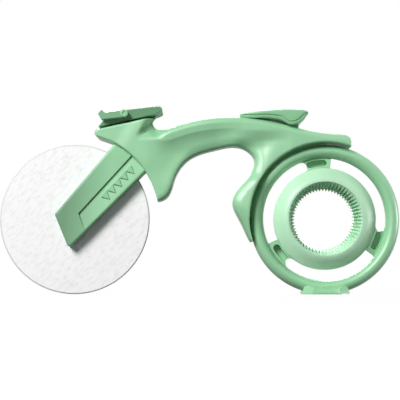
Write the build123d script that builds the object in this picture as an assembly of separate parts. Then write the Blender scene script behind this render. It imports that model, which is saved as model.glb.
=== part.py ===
from build123d import *
import math
import os

# Frame of reference: X along the wheelbase, Z up from the table, Y away from the left side.
# The left side of the tool, which carries the fork panel, faces -Y.

# Wheels
WHEELBASE = 125.0
WHEEL_RADIUS = 37.5
AXLE = (-WHEELBASE / 2, WHEEL_RADIUS)
RING_CENTRE = (WHEELBASE / 2, WHEEL_RADIUS)

# Fits
SLIP = 0.1
RUNNING = 0.05
SCREW_PLAY = 0.1
# How far a cut or a joined root runs on into its neighbour
RUN_ON = 1.0

# Blade and its axle
BLADE_THICK = 1.0
BLADE_BEVEL = 2.2
BLADE_EDGE = 0.2
SLEEVE_RADIUS = 3.0
SLEEVE_BORE = 1.6
SLEEVE_SEAT = 2.0
WASHER_RADIUS = 6.5
WASHER_THICK = 0.6
AXLE_HEAD_SUNK = 0.4

# Fork, measured along its centre line from the axle
FORK_ANGLE = 47.75
FORK_HALF = 6.5
FORK_HALF_WIDTH = 8.65
FORK_FLARE = 2.35
FORK_TOE_LEFT = -4.8
FORK_TOE_RIGHT = -12.6
FORK_CLEAR = 6.0
FORK_LENGTH = WHEEL_RADIUS + FORK_CLEAR
FORK_CORNER = 1.2
TANG_OVERLAP = 4.0
TANG_REACH = 6.5
TANG_ROOT = FORK_LENGTH - TANG_OVERLAP
TANG_LENGTH = FORK_LENGTH + TANG_REACH
TANG_HALF_WIDTH = 6.5
TANG_SCREW_REACH = 2.8
TANG_SCREW = FORK_LENGTH + TANG_SCREW_REACH
BLADE_SLOT = 1.6
BLADE_ROOM = 1.2
BOSS_RADIUS = 7.0
PANEL_START = 3.5
PANEL_DEPTH = 1.1
PANEL_SLOPE = 0.52
SLICE_COUNT = 5
SLICE_SIZE = 4.0
SLICE_PITCH = 4.4
SLICE_START = 0.44 * FORK_LENGTH
SLICE_PROUD = 0.2

# Frame
FRAME_HALF = 8.5
FRAME_ROUND = 4.0
WALL = 3.4
SKIN = 2.6
FORK_ENTRY = 1.0
FRONT_FENDER = FORK_LENGTH - FORK_ENTRY
FENDER_FROM_ANGLE = 12.0
FENDER_TO_ANGLE = 64.0
REAR_FENDER_GAP = 0.4
REAR_FENDER = WHEEL_RADIUS + REAR_FENDER_GAP
LEAF_TAPER_ANGLE = 201.5
LEAF_END_ANGLE = 197.5
LEAF_CUT_SPREAD = 14.0
HEAD_LOWER = (AXLE[0] + 0.3067 * WHEEL_RADIUS, 2.0853 * WHEEL_RADIUS)
HEAD_TIP = (AXLE[0] + 0.2747 * WHEEL_RADIUS, 2.1493 * WHEEL_RADIUS)
HEAD_UPPER = (AXLE[0] + 0.2960 * WHEEL_RADIUS, 2.2133 * WHEEL_RADIUS)
NECK_TOP = (AXLE[0] + 1.0907 * WHEEL_RADIUS, 2.3867 * WHEEL_RADIUS)
NECK_WAIST = (AXLE[0] + 1.0427 * WHEEL_RADIUS, 2.2640 * WHEEL_RADIUS)
TUBE_POINTS = [
    (AXLE[0] + 1.1173 * WHEEL_RADIUS, 2.1920 * WHEEL_RADIUS),
    (-0.1000 * WHEELBASE, 2.2240 * WHEEL_RADIUS),
    (0.0016 * WHEELBASE, 2.3147 * WHEEL_RADIUS),
    (0.1408 * WHEELBASE, 2.3507 * WHEEL_RADIUS),
    (RING_CENTRE[0] - 0.7333 * WHEEL_RADIUS, 2.3040 * WHEEL_RADIUS),
    (RING_CENTRE[0] - 0.2667 * WHEEL_RADIUS, 2.1813 * WHEEL_RADIUS),
    (RING_CENTRE[0] - 0.0213 * WHEEL_RADIUS, 2.1373 * WHEEL_RADIUS),
]
TAIL_TOP = (RING_CENTRE[0] + 0.2133 * WHEEL_RADIUS, 2.1173 * WHEEL_RADIUS)
TAIL_TIP = (RING_CENTRE[0] + 0.3413 * WHEEL_RADIUS, 2.0747 * WHEEL_RADIUS)
TAIL_ROOT = (RING_CENTRE[0] + 0.3440 * WHEEL_RADIUS, 1.6533 * WHEEL_RADIUS)
LEAF_ROOT = (RING_CENTRE[0] - 0.8000 * WHEEL_RADIUS, 0.5467 * WHEEL_RADIUS)
LEAF_POINTS = [
    (RING_CENTRE[0] - 1.1227 * WHEEL_RADIUS, 0.9573 * WHEEL_RADIUS),
    (RING_CENTRE[0] - 1.2267 * WHEEL_RADIUS, 1.2427 * WHEEL_RADIUS),
    (RING_CENTRE[0] - 1.1307 * WHEEL_RADIUS, 1.4187 * WHEEL_RADIUS),
]
ARCH_POINTS = [
    (RING_CENTRE[0] - 0.9840 * WHEEL_RADIUS, 1.6107 * WHEEL_RADIUS),
    (RING_CENTRE[0] - 0.9413 * WHEEL_RADIUS, 1.7813 * WHEEL_RADIUS),
    (RING_CENTRE[0] - 1.0933 * WHEEL_RADIUS, 1.9200 * WHEEL_RADIUS),
    (0.0640 * WHEELBASE, 1.9120 * WHEEL_RADIUS),
    (-0.0416 * WHEELBASE, 1.7813 * WHEEL_RADIUS),
    (AXLE[0] + 1.3413 * WHEEL_RADIUS, 1.5253 * WHEEL_RADIUS),
]
SPIKE_SIDE = (AXLE[0] + 1.2507 * WHEEL_RADIUS, 1.3040 * WHEEL_RADIUS)
SPIKE_TIP = (AXLE[0] + 1.1707 * WHEEL_RADIUS, 1.2427 * WHEEL_RADIUS)
CAVITY_FROM = (-0.1360 * WHEELBASE, 1.8133 * WHEEL_RADIUS)
CAVITY_TO = (0.2480 * WHEELBASE, 2.4533 * WHEEL_RADIUS)

# Screws that close the frame
SCREW_RADIUS = 1.5
SCREW_HEAD_RADIUS = 2.8
SCREW_HEAD = 2.0
SCREW_SEAT = 5.2
SCREW_LENGTH = 12.0
SCREW_BOSS = 3.4
SCREW_DRIVE = 0.9
SCREW_HEAD_ROUND = 0.7
# Cross recess, as shares of the head radius
DRIVE_SPAN = 1.2
DRIVE_WIDTH = 0.3
HANDLE_SCREW = (0.0160 * WHEELBASE, 2.1067 * WHEEL_RADIUS)
STEM_SCREW = (AXLE[0] + 0.5840 * WHEEL_RADIUS, 2.1760 * WHEEL_RADIUS)
POST_SCREW = (RING_CENTRE[0] - 0.4187 * WHEEL_RADIUS, 2.1173 * WHEEL_RADIUS)

# Tenons that the shells clamp
TENON_HALF = 3.2
STEM_TENON = (AXLE[0] + 0.4880 * WHEEL_RADIUS, AXLE[0] + 0.6800 * WHEEL_RADIUS)
STEM_TENON_DEPTH = 6.4
POST_FROM = RING_CENTRE[0] - 0.4933 * WHEEL_RADIUS
POST_TO = RING_CENTRE[0] - 0.3440 * WHEEL_RADIUS
POST_BOTTOM = 2.0320 * WHEEL_RADIUS
POST_TOP = 2.3573 * WHEEL_RADIUS

# Handlebar
STEM_HALF = 9.5
STEM_BOTTOM_LEFT = AXLE[0] + 0.3227 * WHEEL_RADIUS
STEM_LEFT = (AXLE[0] + 0.3973 * WHEEL_RADIUS, 2.3040 * WHEEL_RADIUS)
STEM_TOP_LEFT = (AXLE[0] + 0.4560 * WHEEL_RADIUS, 2.4107 * WHEEL_RADIUS)
STEM_TOP_RIGHT = (AXLE[0] + 1.1280 * WHEEL_RADIUS, 2.4880 * WHEEL_RADIUS)
STEM_NOSE = (AXLE[0] + 1.2080 * WHEEL_RADIUS, 2.4427 * WHEEL_RADIUS)
STEM_ROUND = 1.2
STEM_EDGE = 0.4
STEM_LEAN = 20.0
HORN_FACE = 11.1
HORN_TIP = (AXLE[0] + 0.3733 * WHEEL_RADIUS, 2.4347 * WHEEL_RADIUS)
HORN_CORNER = (AXLE[0] + 0.3227 * WHEEL_RADIUS, 2.3813 * WHEEL_RADIUS)
HORN_HEEL = (AXLE[0] + 0.3707 * WHEEL_RADIUS, 2.3013 * WHEEL_RADIUS)
HORN_NOTCH = (AXLE[0] + 0.4107 * WHEEL_RADIUS, 2.3920 * WHEEL_RADIUS)
HORN_TOP = (AXLE[0] + 0.6533 * WHEEL_RADIUS, 2.4240 * WHEEL_RADIUS)
HORN_BOTTOM = (AXLE[0] + 0.6693 * WHEEL_RADIUS, 2.3333 * WHEEL_RADIUS)
HORN_HOOK_DEPTH = 3.6
HORN_CLEAR = 0.6
BAR_END = (AXLE[0] + 0.6693 * WHEEL_RADIUS, 2.3840 * WHEEL_RADIUS)
BAR_END_RADIUS = 1.92
BAR_END_PROUD = 0.7
BAR_SHANK = 1.2
BAR_DIMPLE = 0.8
BAR_DIMPLE_DEPTH = 0.35
BAR_END_ROUND = 0.42

# Saddle, as sections in wheel radii: place from the ring centre, half width, bottom, shoulder, top.
# Its flanks lean in towards the bottom by a share of the half width.
SADDLE_SHARES = [
    (-1.1253, 0.1600, 2.3600, 2.3960, 2.4107),
    (-0.9200, 0.2347, 2.3400, 2.4187, 2.4347),
    (-0.6800, 0.2613, 2.3253, 2.4373, 2.4533),
    (-0.4400, 0.2747, 2.2453, 2.4400, 2.4587),
    (-0.3067, 0.2773, 2.2560, 2.4320, 2.4480),
    (-0.2267, 0.2587, 2.3787, 2.4267, 2.4400),
]
SADDLE_LEAN = 0.1
SADDLE_GAP = 0.2

# Rear wheel ring, its webs and the tongue that the frame clamps
RING_WIDTH = 6.9
RING_INNER = WHEEL_RADIUS - RING_WIDTH
RING_HALF = 4.6
RING_MIDDLE = (WHEEL_RADIUS + RING_INNER) / 2
WEB_ANGLES = [98.0, 218.0, 338.0]
WEB_SPREAD = 14.5
WEB_HALF = 2.6
WEB_FALL = 1.8
WEB_SLOT_DEPTH = 3.2
WEB_SLOT_SPREAD = 7.0
WEB_SLOT_WIDTH = 3.4
TONGUE_PROUD = 2.7
TONGUE_RADIUS = WHEEL_RADIUS + TONGUE_PROUD
TONGUE_FROM = 88.0
TONGUE_TO = 178.0
TONGUE_HALF = 2.0
EAR_RADIUS = 3.4
EAR_LINK = 3.5
UPPER_EAR_PROUD = 6.5
LOWER_EAR_PROUD = 3.7
UPPER_EAR_ANGLE = 125.0
LOWER_EAR_ANGLE = 165.0
EAR_PLACES = [
    (WHEEL_RADIUS + UPPER_EAR_PROUD, UPPER_EAR_ANGLE),
    (WHEEL_RADIUS + LOWER_EAR_PROUD, LOWER_EAR_ANGLE),
]

# Cap grip
WEB_LENGTH = 5.2
GRIP_OUTER = RING_INNER - WEB_LENGTH
GRIP_WALL = 7.6
TOOTH_DEPTH = 1.3
TOOTH_TAPER = 2.1
TOOTH_ROOT_FRONT = GRIP_OUTER - GRIP_WALL
TOOTH_TIP_FRONT = TOOTH_ROOT_FRONT - TOOTH_DEPTH
TOOTH_ROOT_REAR = TOOTH_ROOT_FRONT - TOOTH_TAPER
TOOTH_TIP_REAR = TOOTH_ROOT_REAR - TOOTH_DEPTH
GRIP_BAND = 2.8
GRIP_CREST = (GRIP_OUTER - 0.74 * GRIP_WALL, -7.0)
GRIP_LAND = (GRIP_OUTER - 0.92 * GRIP_WALL, -7.0)
GRIP_LIP = (GRIP_OUTER - 0.975 * GRIP_WALL, -6.83)
GRIP_MOUTH = (TOOTH_ROOT_FRONT, -6.4)
GRIP_REAR = 6.0
GRIP_REAR_CREST = GRIP_OUTER - 0.795 * GRIP_WALL
GRIP_REAR_SHOULDER = (GRIP_OUTER - 0.301 * GRIP_WALL, 5.0)
TEETH = 60
KEY_SPREAD = 6.3
KEY_INNER = GRIP_OUTER - 0.7 * GRIP_WALL
KEY_SCREW = GRIP_OUTER - 0.43 * GRIP_WALL
KEY_SCREW_RADIUS = 1.0
KEY_SCREW_HEAD_RADIUS = 1.9
KEY_SCREW_HEAD = 1.2
KEY_SCREW_LENGTH = 6.5

# Foot
FOOT_LENGTH = 23.4
FOOT_WIDTH = 20.0
FOOT_CORNER = 4.6
FOOT_RIM = 0.9
FOOT_HEIGHT = 4.1
FOOT_DRAFT = 1.2
FOOT_SEAT = 1.5
FOOT_SCREW_SPACING = 12.0
FOOT_SCREW_RADIUS = 1.1
FOOT_SCREW_HEAD_RADIUS = 2.1
FOOT_SCREW_LENGTH = 5.2
FOOT_SCREW_SUNK = 0.15
FOOT_DRIVE_LENGTH = 2.94
FOOT_DRIVE_WIDTH = 0.55

FORK_LINE = (math.cos(math.radians(FORK_ANGLE)), math.sin(math.radians(FORK_ANGLE)))
FORK_SIDE = (-FORK_LINE[1], FORK_LINE[0])


def around(centre, radius, angle):
    """Point of the side view at a radius and an angle about a centre."""
    turn = math.radians(angle)
    return (centre[0] + radius * math.cos(turn), centre[1] + radius * math.sin(turn))


def on_fork(along, across):
    """Point of the side view along the fork from the axle, and across to its upper side."""
    x = AXLE[0] + along * FORK_LINE[0] + across * FORK_SIDE[0]
    z = AXLE[1] + along * FORK_LINE[1] + across * FORK_SIDE[1]
    return (x, z)


def slab(sketch, front, back):
    """Prism of a side-view sketch between two depths, the front one nearer the left side."""
    return extrude(Plane.XZ.offset(-back) * sketch, back - front)


def disc(centre, radius, front, back):
    """Round bar across the tool."""
    return slab(Pos(*centre) * Circle(radius), front, back)


def area(*points):
    """Flat area of the side view with straight sides."""
    return make_face(Polyline(*points, close=True))


def sector(centre, inner, outer, start, end):
    """Part of a flat ring between two angles."""
    middle = (start + end) / 2
    outer_arc = ThreePointArc(*[around(centre, outer, a) for a in (start, middle, end)])
    inner_arc = ThreePointArc(*[around(centre, inner, a) for a in (end, middle, start)])
    first = Line(outer_arc @ 1, inner_arc @ 0)
    last = Line(inner_arc @ 1, outer_arc @ 0)
    return make_face(outer_arc + first + inner_arc + last)


def turned(centre, profile):
    """Solid turned about the cross axis through a centre from a profile of radius and depth."""
    plane = Plane(origin=(centre[0], 0, centre[1]), x_dir=(1, 0, 0), z_dir=(0, 0, 1))
    axis = Axis((centre[0], 0, centre[1]), (0, 1, 0))
    return revolve(plane * profile, axis, 360)


def bearing_zone():
    """Depth of the fork face that a washer bears on."""
    return BLADE_THICK / 2 + WASHER_THICK + 2 * RUNNING


# Blade and axle

def blade():
    half = BLADE_THICK / 2
    edge = BLADE_EDGE / 2
    bevel = WHEEL_RADIUS - BLADE_BEVEL
    hole = SLEEVE_RADIUS + RUNNING
    profile = area(
        (hole, -half), (bevel, -half), (WHEEL_RADIUS, -edge),
        (WHEEL_RADIUS, edge), (bevel, half), (hole, half),
    )
    return turned(AXLE, profile)


def sleeve_reach():
    """Half length of the axle sleeve."""
    return bearing_zone() + SLEEVE_SEAT - SLIP


def axle_sleeve():
    reach = sleeve_reach()
    return disc(AXLE, SLEEVE_RADIUS, -reach, reach) - disc(AXLE, SLEEVE_BORE, -reach, reach)


def washer(side):
    near = BLADE_THICK / 2 + RUNNING
    far = near + WASHER_THICK
    front, back = sorted((side * near, side * far))
    hole = SLEEVE_RADIUS + RUNNING
    return disc(AXLE, WASHER_RADIUS, front, back) - disc(AXLE, hole, front, back)


# Screws

def pan_screw(place, seat, length, radius, head_radius, head_height):
    """Pan-head screw driven from the right side, with a cross recess in its head."""
    shank = disc(place, radius, seat - length, seat)
    head = disc(place, head_radius, seat, seat + head_height)
    rim = head.edges().filter_by(GeomType.CIRCLE).sort_by(Axis.Y)[-1]
    head = fillet(rim, min(SCREW_HEAD_ROUND, head_height / 2))
    arm = Rectangle(head_radius * DRIVE_SPAN, head_radius * DRIVE_WIDTH)
    cross = Pos(*place) * (arm + Rot(0, 0, 90) * arm)
    return shank + head - slab(cross, seat + head_height - SCREW_DRIVE, seat + head_height)


def frame_screw_places():
    ears = [around(RING_CENTRE, radius, angle) for radius, angle in EAR_PLACES]
    return [on_fork(TANG_SCREW, 0), STEM_SCREW, HANDLE_SCREW, POST_SCREW] + ears


def frame_screws():
    return Compound(children=[
        pan_screw(place, SCREW_SEAT, SCREW_LENGTH, SCREW_RADIUS, SCREW_HEAD_RADIUS, SCREW_HEAD)
        for place in frame_screw_places()
    ])


def axle_screw_seat():
    """Depth of the shoulder under the axle screw's head."""
    return FORK_HALF - SCREW_HEAD - AXLE_HEAD_SUNK


def axle_screw():
    length = axle_screw_seat() + sleeve_reach() + SLEEVE_SEAT / 2
    return pan_screw(AXLE, axle_screw_seat(), length, SCREW_RADIUS, SCREW_HEAD_RADIUS, SCREW_HEAD)


def grip_screws():
    places = [around(RING_CENTRE, KEY_SCREW, angle) for angle in WEB_ANGLES]
    return Compound(children=[
        pan_screw(
            place, WEB_HALF, KEY_SCREW_LENGTH, KEY_SCREW_RADIUS,
            KEY_SCREW_HEAD_RADIUS, KEY_SCREW_HEAD,
        )
        for place in places
    ])


# Fork

def fork_half_width(along):
    return FORK_HALF_WIDTH + along * math.tan(math.radians(FORK_FLARE))


def fork_outline():
    corners = [
        on_fork(FORK_TOE_LEFT, fork_half_width(FORK_TOE_LEFT)),
        on_fork(FORK_TOE_RIGHT, -fork_half_width(FORK_TOE_RIGHT)),
        on_fork(FORK_LENGTH, -fork_half_width(FORK_LENGTH)),
        on_fork(FORK_LENGTH, fork_half_width(FORK_LENGTH)),
    ]
    outline = area(*corners)
    toes = [v for v in outline.vertices() if v.X < AXLE[0]]
    return fillet(toes, FORK_CORNER)


def tang_outline(play=0.0):
    width = TANG_HALF_WIDTH + play
    end = TANG_LENGTH + play
    return area(
        on_fork(TANG_ROOT, width), on_fork(TANG_ROOT, -width),
        on_fork(end, -width), on_fork(end, width),
    )


def panel_outline():
    """Lower half of the fork's outer face, which is set back."""
    side = -fork_half_width(FORK_LENGTH) - RUN_ON
    return area(
        on_fork(PANEL_START, 0), on_fork(PANEL_START + PANEL_SLOPE * side, side),
        on_fork(FORK_LENGTH + RUN_ON, side), on_fork(FORK_LENGTH + RUN_ON, 0),
    )


def panel_wedge(side):
    """Room over the panel's floor, which is deepest in the fork's middle and runs out at its edge."""
    rise = PANEL_DEPTH / fork_half_width(FORK_LENGTH)
    middle = on_fork(0, 0)
    plane = Plane(
        origin=(middle[0], side * (FORK_HALF - PANEL_DEPTH), middle[1]),
        x_dir=(FORK_LINE[0], 0, FORK_LINE[1]), z_dir=(rise * FORK_SIDE[0], side, rise * FORK_SIDE[1]))
    reach = 4 * FORK_LENGTH
    return plane * Box(reach, reach, FORK_HALF, align=(Align.CENTER, Align.CENTER, Align.MIN))


def slice_marks():
    """Row of small plain triangles that stand on the panel."""
    marks = []
    for index in range(SLICE_COUNT):
        along = SLICE_START + index * SLICE_PITCH
        across = -fork_half_width(along) / 2
        marks.append(area(
            on_fork(along - SLICE_SIZE / 2, across + SLICE_SIZE / 2),
            on_fork(along + SLICE_SIZE / 2, across + SLICE_SIZE / 2),
            on_fork(along, across - SLICE_SIZE / 2),
        ))
    return marks


def fork_arm(side):
    """One fork arm: front is side -1, rear is side +1."""
    def between(sketch, near, far):
        front, back = sorted((side * near, side * far))
        return slab(sketch, front, back)

    arm = between(fork_outline(), 0, FORK_HALF) + between(tang_outline(), 0, TENON_HALF)
    slot = Pos(*AXLE) * Circle(WHEEL_RADIUS + BLADE_ROOM)
    boss = Pos(*AXLE) * Circle(BOSS_RADIUS)
    arm -= between(slot - boss, 0, BLADE_SLOT)
    arm -= between(boss, 0, bearing_zone())
    arm -= between(panel_outline(), FORK_HALF - PANEL_DEPTH, FORK_HALF) & panel_wedge(side)
    for mark in slice_marks():
        arm += between(mark, FORK_HALF - 2 * PANEL_DEPTH, FORK_HALF + SLICE_PROUD)
    arm -= between(Pos(*AXLE) * Circle(SLEEVE_RADIUS + SLIP / 4), 0, bearing_zone() + SLEEVE_SEAT)
    arm -= disc(on_fork(TANG_SCREW, 0), SCREW_RADIUS + SCREW_PLAY, -FRAME_HALF, FRAME_HALF)
    return arm


def fork_front_arm():
    pilot = sleeve_reach() + SLEEVE_SEAT / 2 + SCREW_PLAY
    return fork_arm(-1) - disc(AXLE, SCREW_RADIUS + RUNNING, -pilot, 0)


def fork_rear_arm():
    seat = axle_screw_seat()
    arm = fork_arm(1) - disc(AXLE, SCREW_RADIUS + SCREW_PLAY, 0, FORK_HALF)
    return arm - disc(AXLE, SCREW_HEAD_RADIUS + SCREW_PLAY, seat, FORK_HALF)


# Frame

def frame_outline():
    """Side view of the frame, run on at the rear to inside the wheel ring."""
    front = [around(AXLE, FRONT_FENDER, a) for a in (
        FENDER_FROM_ANGLE, (FENDER_FROM_ANGLE + FENDER_TO_ANGLE) / 2, FENDER_TO_ANGLE)]
    leaf_tip = around(RING_CENTRE, REAR_FENDER, LEAF_TAPER_ANGLE)
    return make_face(
        ThreePointArc(*front)
        + Line(front[2], HEAD_LOWER)
        + ThreePointArc(HEAD_LOWER, HEAD_TIP, HEAD_UPPER)
        + Line(HEAD_UPPER, NECK_TOP)
        + Spline(NECK_TOP, NECK_WAIST, *TUBE_POINTS, TAIL_TOP, TAIL_TIP)
        + Line(TAIL_TIP, TAIL_ROOT)
        + Line(TAIL_ROOT, LEAF_ROOT)
        + Spline(LEAF_ROOT, leaf_tip, *LEAF_POINTS, *ARCH_POINTS, SPIKE_SIDE, SPIKE_TIP)
        + Line(SPIKE_TIP, front[0])
    )


def frame_body():
    """Outer form of both shells, rounded along the grip and the arch, with the rear fender cut."""
    body = slab(frame_outline(), -FRAME_HALF, FRAME_HALF)
    faces = body.faces().sort_by(Axis.Y)
    grip = faces[0].edges().filter_by(GeomType.BSPLINE) + faces[-1].edges().filter_by(GeomType.BSPLINE)
    fender = disc(RING_CENTRE, REAR_FENDER, -FRAME_HALF, FRAME_HALF)
    blunt = sector(
        RING_CENTRE, RING_INNER, REAR_FENDER + FRAME_ROUND, LEAF_END_ANGLE, LEAF_END_ANGLE + LEAF_CUT_SPREAD)
    return fillet(grip, FRAME_ROUND) - fender - slab(blunt, -FRAME_HALF, FRAME_HALF)


def handle_cavity():
    """Hollow along the top tube, left open round the screw boss."""
    outline = frame_outline()
    inner = (Pos(0, -WALL) * outline) & (Pos(0, WALL) * outline)
    left, low = CAVITY_FROM
    right, high = CAVITY_TO
    reach = Pos((left + right) / 2, (low + high) / 2) * Rectangle(right - left, high - low)
    boss = Pos(*HANDLE_SCREW) * Circle(SCREW_BOSS)
    depth = FRAME_HALF - SKIN
    return slab((inner & reach) - boss, -depth, depth)


def head_top(x):
    """Height of the head's sloping top, which the handlebar stem stands on."""
    slope = (NECK_TOP[1] - HEAD_UPPER[1]) / (NECK_TOP[0] - HEAD_UPPER[0])
    return HEAD_UPPER[1] + slope * (x - HEAD_UPPER[0])


def stem_tenon(play=0.0):
    left, right = STEM_TENON
    base = head_top((left + right) / 2)
    middle = Pos((left + right) / 2, base - STEM_TENON_DEPTH / 2 + RUN_ON)
    outline = middle * Rectangle(right - left + 2 * play, STEM_TENON_DEPTH + 2 * RUN_ON + 2 * play)
    return slab(outline, -TENON_HALF - play, TENON_HALF + play)


def post_prism(play=0.0):
    middle = Pos((POST_FROM + POST_TO) / 2, (POST_BOTTOM + POST_TOP) / 2)
    outline = middle * Rectangle(POST_TO - POST_FROM + 2 * play, POST_TOP - POST_BOTTOM + 2 * play)
    return slab(outline, -TENON_HALF - play, TENON_HALF + play)


def ring_tongue(play=0.0):
    """Rib and two ears on the ring that lie between the shells."""
    spread = math.degrees(play / TONGUE_RADIUS)
    rib = sector(
        RING_CENTRE, RING_MIDDLE, TONGUE_RADIUS + play, TONGUE_FROM - spread, TONGUE_TO + spread)
    for radius, angle in EAR_PLACES:
        link = EAR_LINK + spread
        rib += sector(RING_CENTRE, RING_MIDDLE, radius, angle - link, angle + link)
        rib += Pos(*around(RING_CENTRE, radius, angle)) * Circle(EAR_RADIUS + play)
    return slab(rib, -TONGUE_HALF - play, TONGUE_HALF + play)


def hollow_frame():
    fork_room = slab(tang_outline(SLIP), -TENON_HALF - SLIP, TENON_HALF + SLIP)
    fork_mouth = slab(fork_outline(), -FORK_HALF - SLIP, FORK_HALF + SLIP)
    body = frame_body() - handle_cavity() - fork_room - fork_mouth
    body = body - stem_tenon(SLIP) - post_prism(SLIP) - ring_tongue(SLIP)
    return body


def frame_front_shell(body):
    shell = split(body, Plane.XZ, Keep.TOP)
    for place in frame_screw_places():
        tip = SCREW_SEAT - SCREW_LENGTH - SCREW_PLAY
        shell -= disc(place, SCREW_RADIUS + RUNNING, tip, 0)
    return shell


def frame_rear_shell(body):
    shell = split(body, Plane.XZ, Keep.BOTTOM)
    for place in frame_screw_places():
        shell -= disc(place, SCREW_RADIUS + SCREW_PLAY, 0, FRAME_HALF)
        shell -= disc(place, SCREW_HEAD_RADIUS + SCREW_PLAY, SCREW_SEAT, FRAME_HALF)
    return shell


# Handlebar

def stem_face(side):
    """Room outside the stem's leaning face: front is side -1, rear is side +1."""
    run = (STEM_TOP_RIGHT[0] - STEM_TOP_LEFT[0], STEM_TOP_RIGHT[1] - STEM_TOP_LEFT[1])
    length = math.hypot(*run)
    lean = math.radians(STEM_LEAN)
    down = math.sin(lean) / length
    plane = Plane(
        origin=(STEM_TOP_LEFT[0], side * STEM_HALF, STEM_TOP_LEFT[1]), x_dir=(run[0], 0, run[1]),
        z_dir=(down * run[1], side * math.cos(lean), -down * run[0]))
    return plane * Box(4 * length, 4 * length, 4 * STEM_HALF, align=(Align.CENTER, Align.CENTER, Align.MIN))


def handlebar_stem():
    left = (STEM_BOTTOM_LEFT, head_top(STEM_BOTTOM_LEFT) + RUNNING)
    right = (NECK_TOP[0], NECK_TOP[1] + RUNNING)
    outline = area(left, STEM_LEFT, STEM_TOP_LEFT, STEM_TOP_RIGHT, STEM_NOSE, right)
    nose = [v for v in outline.vertices() if v.X > right[0] + STEM_ROUND]
    outline = fillet(nose, STEM_ROUND)
    stem = slab(outline, -STEM_HALF, STEM_HALF)
    stem -= stem_face(-1)
    stem -= stem_face(1)
    top = stem.edges().filter_by(lambda edge: edge.center().Z > STEM_TOP_LEFT[1])
    rims = top.filter_by(lambda edge: abs(edge.center().Y) > STEM_HALF - STEM_EDGE)
    stem = fillet(rims, STEM_EDGE)
    stem += stem_tenon()
    stem -= disc(STEM_SCREW, SCREW_RADIUS + SCREW_PLAY, -STEM_HALF, STEM_HALF)
    return stem - disc(BAR_END, BAR_SHANK + RUNNING, -STEM_HALF, STEM_HALF)


def horn(side):
    """Bar horn on one face of the stem, with its end turned up past the stem."""
    near = STEM_HALF - HORN_HOOK_DEPTH
    outline = area(HORN_TIP, HORN_CORNER, HORN_HEEL, HORN_BOTTOM, HORN_TOP, HORN_NOTCH)
    outline += Pos(*BAR_END) * Circle(BAR_END_RADIUS)
    hook = area(HORN_TIP, HORN_CORNER, HORN_HEEL, HORN_NOTCH)
    clear = area(HORN_TIP, HORN_CORNER, HORN_HEEL, (STEM_LEFT[0] - HORN_CLEAR, STEM_LEFT[1]), HORN_NOTCH)

    def between(sketch, low, high):
        front, back = sorted((side * low, side * high))
        return slab(sketch, front, back)

    piece = between(outline, near, HORN_FACE) & stem_face(side)
    piece += between(hook & clear, HORN_FACE - HORN_HOOK_DEPTH, HORN_FACE)
    return piece - between(Pos(*BAR_END) * Circle(BAR_SHANK + RUNNING), near, HORN_FACE)


def bar_rivet():
    reach = HORN_FACE + BAR_END_PROUD
    rivet = disc(BAR_END, BAR_SHANK, -reach, reach)
    rivet += disc(BAR_END, BAR_END_RADIUS, HORN_FACE, reach)
    rivet += disc(BAR_END, BAR_END_RADIUS, -reach, -HORN_FACE)
    rims = rivet.edges().filter_by(GeomType.CIRCLE).sort_by(Axis.Y)
    rivet = fillet([rims[0], rims[-1]], BAR_END_ROUND)
    dimple = BAR_DIMPLE_DEPTH
    rivet -= disc(BAR_END, BAR_DIMPLE, reach - dimple, reach)
    return rivet - disc(BAR_END, BAR_DIMPLE, -reach, dimple - reach)


# Saddle

def saddle_section(place, half, bottom, shoulder, top):
    foot = half * (1 - SADDLE_LEAN)
    base = Line((-foot, bottom), (foot, bottom))
    right = Line(base @ 1, (half, shoulder))
    crown = ThreePointArc(right @ 1, (0, top), (-half, shoulder))
    left = Line(crown @ 1, base @ 0)
    plane = Plane(origin=(place, 0, 0), x_dir=(0, 1, 0), z_dir=(1, 0, 0))
    return plane * make_face(base + right + crown + left)


def saddle():
    sections = []
    for place, *sizes in SADDLE_SHARES:
        lengths = [size * WHEEL_RADIUS for size in sizes]
        sections.append(saddle_section(RING_CENTRE[0] + place * WHEEL_RADIUS, *lengths))
    form = loft(sections)
    side = FRAME_HALF + SADDLE_GAP
    room = slab(Pos(0, SADDLE_GAP) * frame_outline(), -side, side)
    return form - room - post_prism(SLIP / 2)


def seat_post():
    return post_prism() - disc(POST_SCREW, SCREW_RADIUS + SCREW_PLAY, -TENON_HALF, TENON_HALF)


# Rear wheel

def ring_tube(play=0.0):
    section = Pos(RING_MIDDLE, 0) * Ellipse((WHEEL_RADIUS - RING_INNER) / 2 + play, RING_HALF + play)
    return turned(RING_CENTRE, section)


def web_fall():
    """Wedge all round that leaves the front face of each web leaning outward."""
    inner = GRIP_OUTER + SLIP
    outer = RING_INNER + RUN_ON
    front = -WEB_HALF - RUN_ON
    wedge = area((inner, front), (outer, front), (outer, WEB_FALL - WEB_HALF), (inner, -WEB_HALF))
    return turned(RING_CENTRE, wedge)


def web(angle):
    """Web from the ring to the cap grip, with a key at its inner end and a blind slot."""
    inner = GRIP_OUTER + SLIP
    plate = sector(RING_CENTRE, inner, RING_INNER + RUN_ON, angle - WEB_SPREAD, angle + WEB_SPREAD)
    middle = (inner + RING_INNER) / 2
    scoop = around(RING_CENTRE, middle, angle + WEB_SPREAD)
    plate -= Pos(*scoop) * Circle((RING_INNER - inner) / 2)
    plate += sector(RING_CENTRE, KEY_INNER, inner + RUN_ON, angle - KEY_SPREAD, angle + KEY_SPREAD)
    solid = slab(plate, -WEB_HALF, WEB_HALF) - web_fall()
    path = CenterArc((0, 0), middle, angle - WEB_SLOT_SPREAD, 2 * WEB_SLOT_SPREAD)
    slot = Pos(*RING_CENTRE) * SlotArc(path, WEB_SLOT_WIDTH)
    solid -= slab(slot, -WEB_HALF, -WEB_HALF + WEB_SLOT_DEPTH)
    hole = around(RING_CENTRE, KEY_SCREW, angle)
    return solid - disc(hole, KEY_SCREW_RADIUS + SCREW_PLAY, -WEB_HALF, WEB_HALF)


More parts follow.
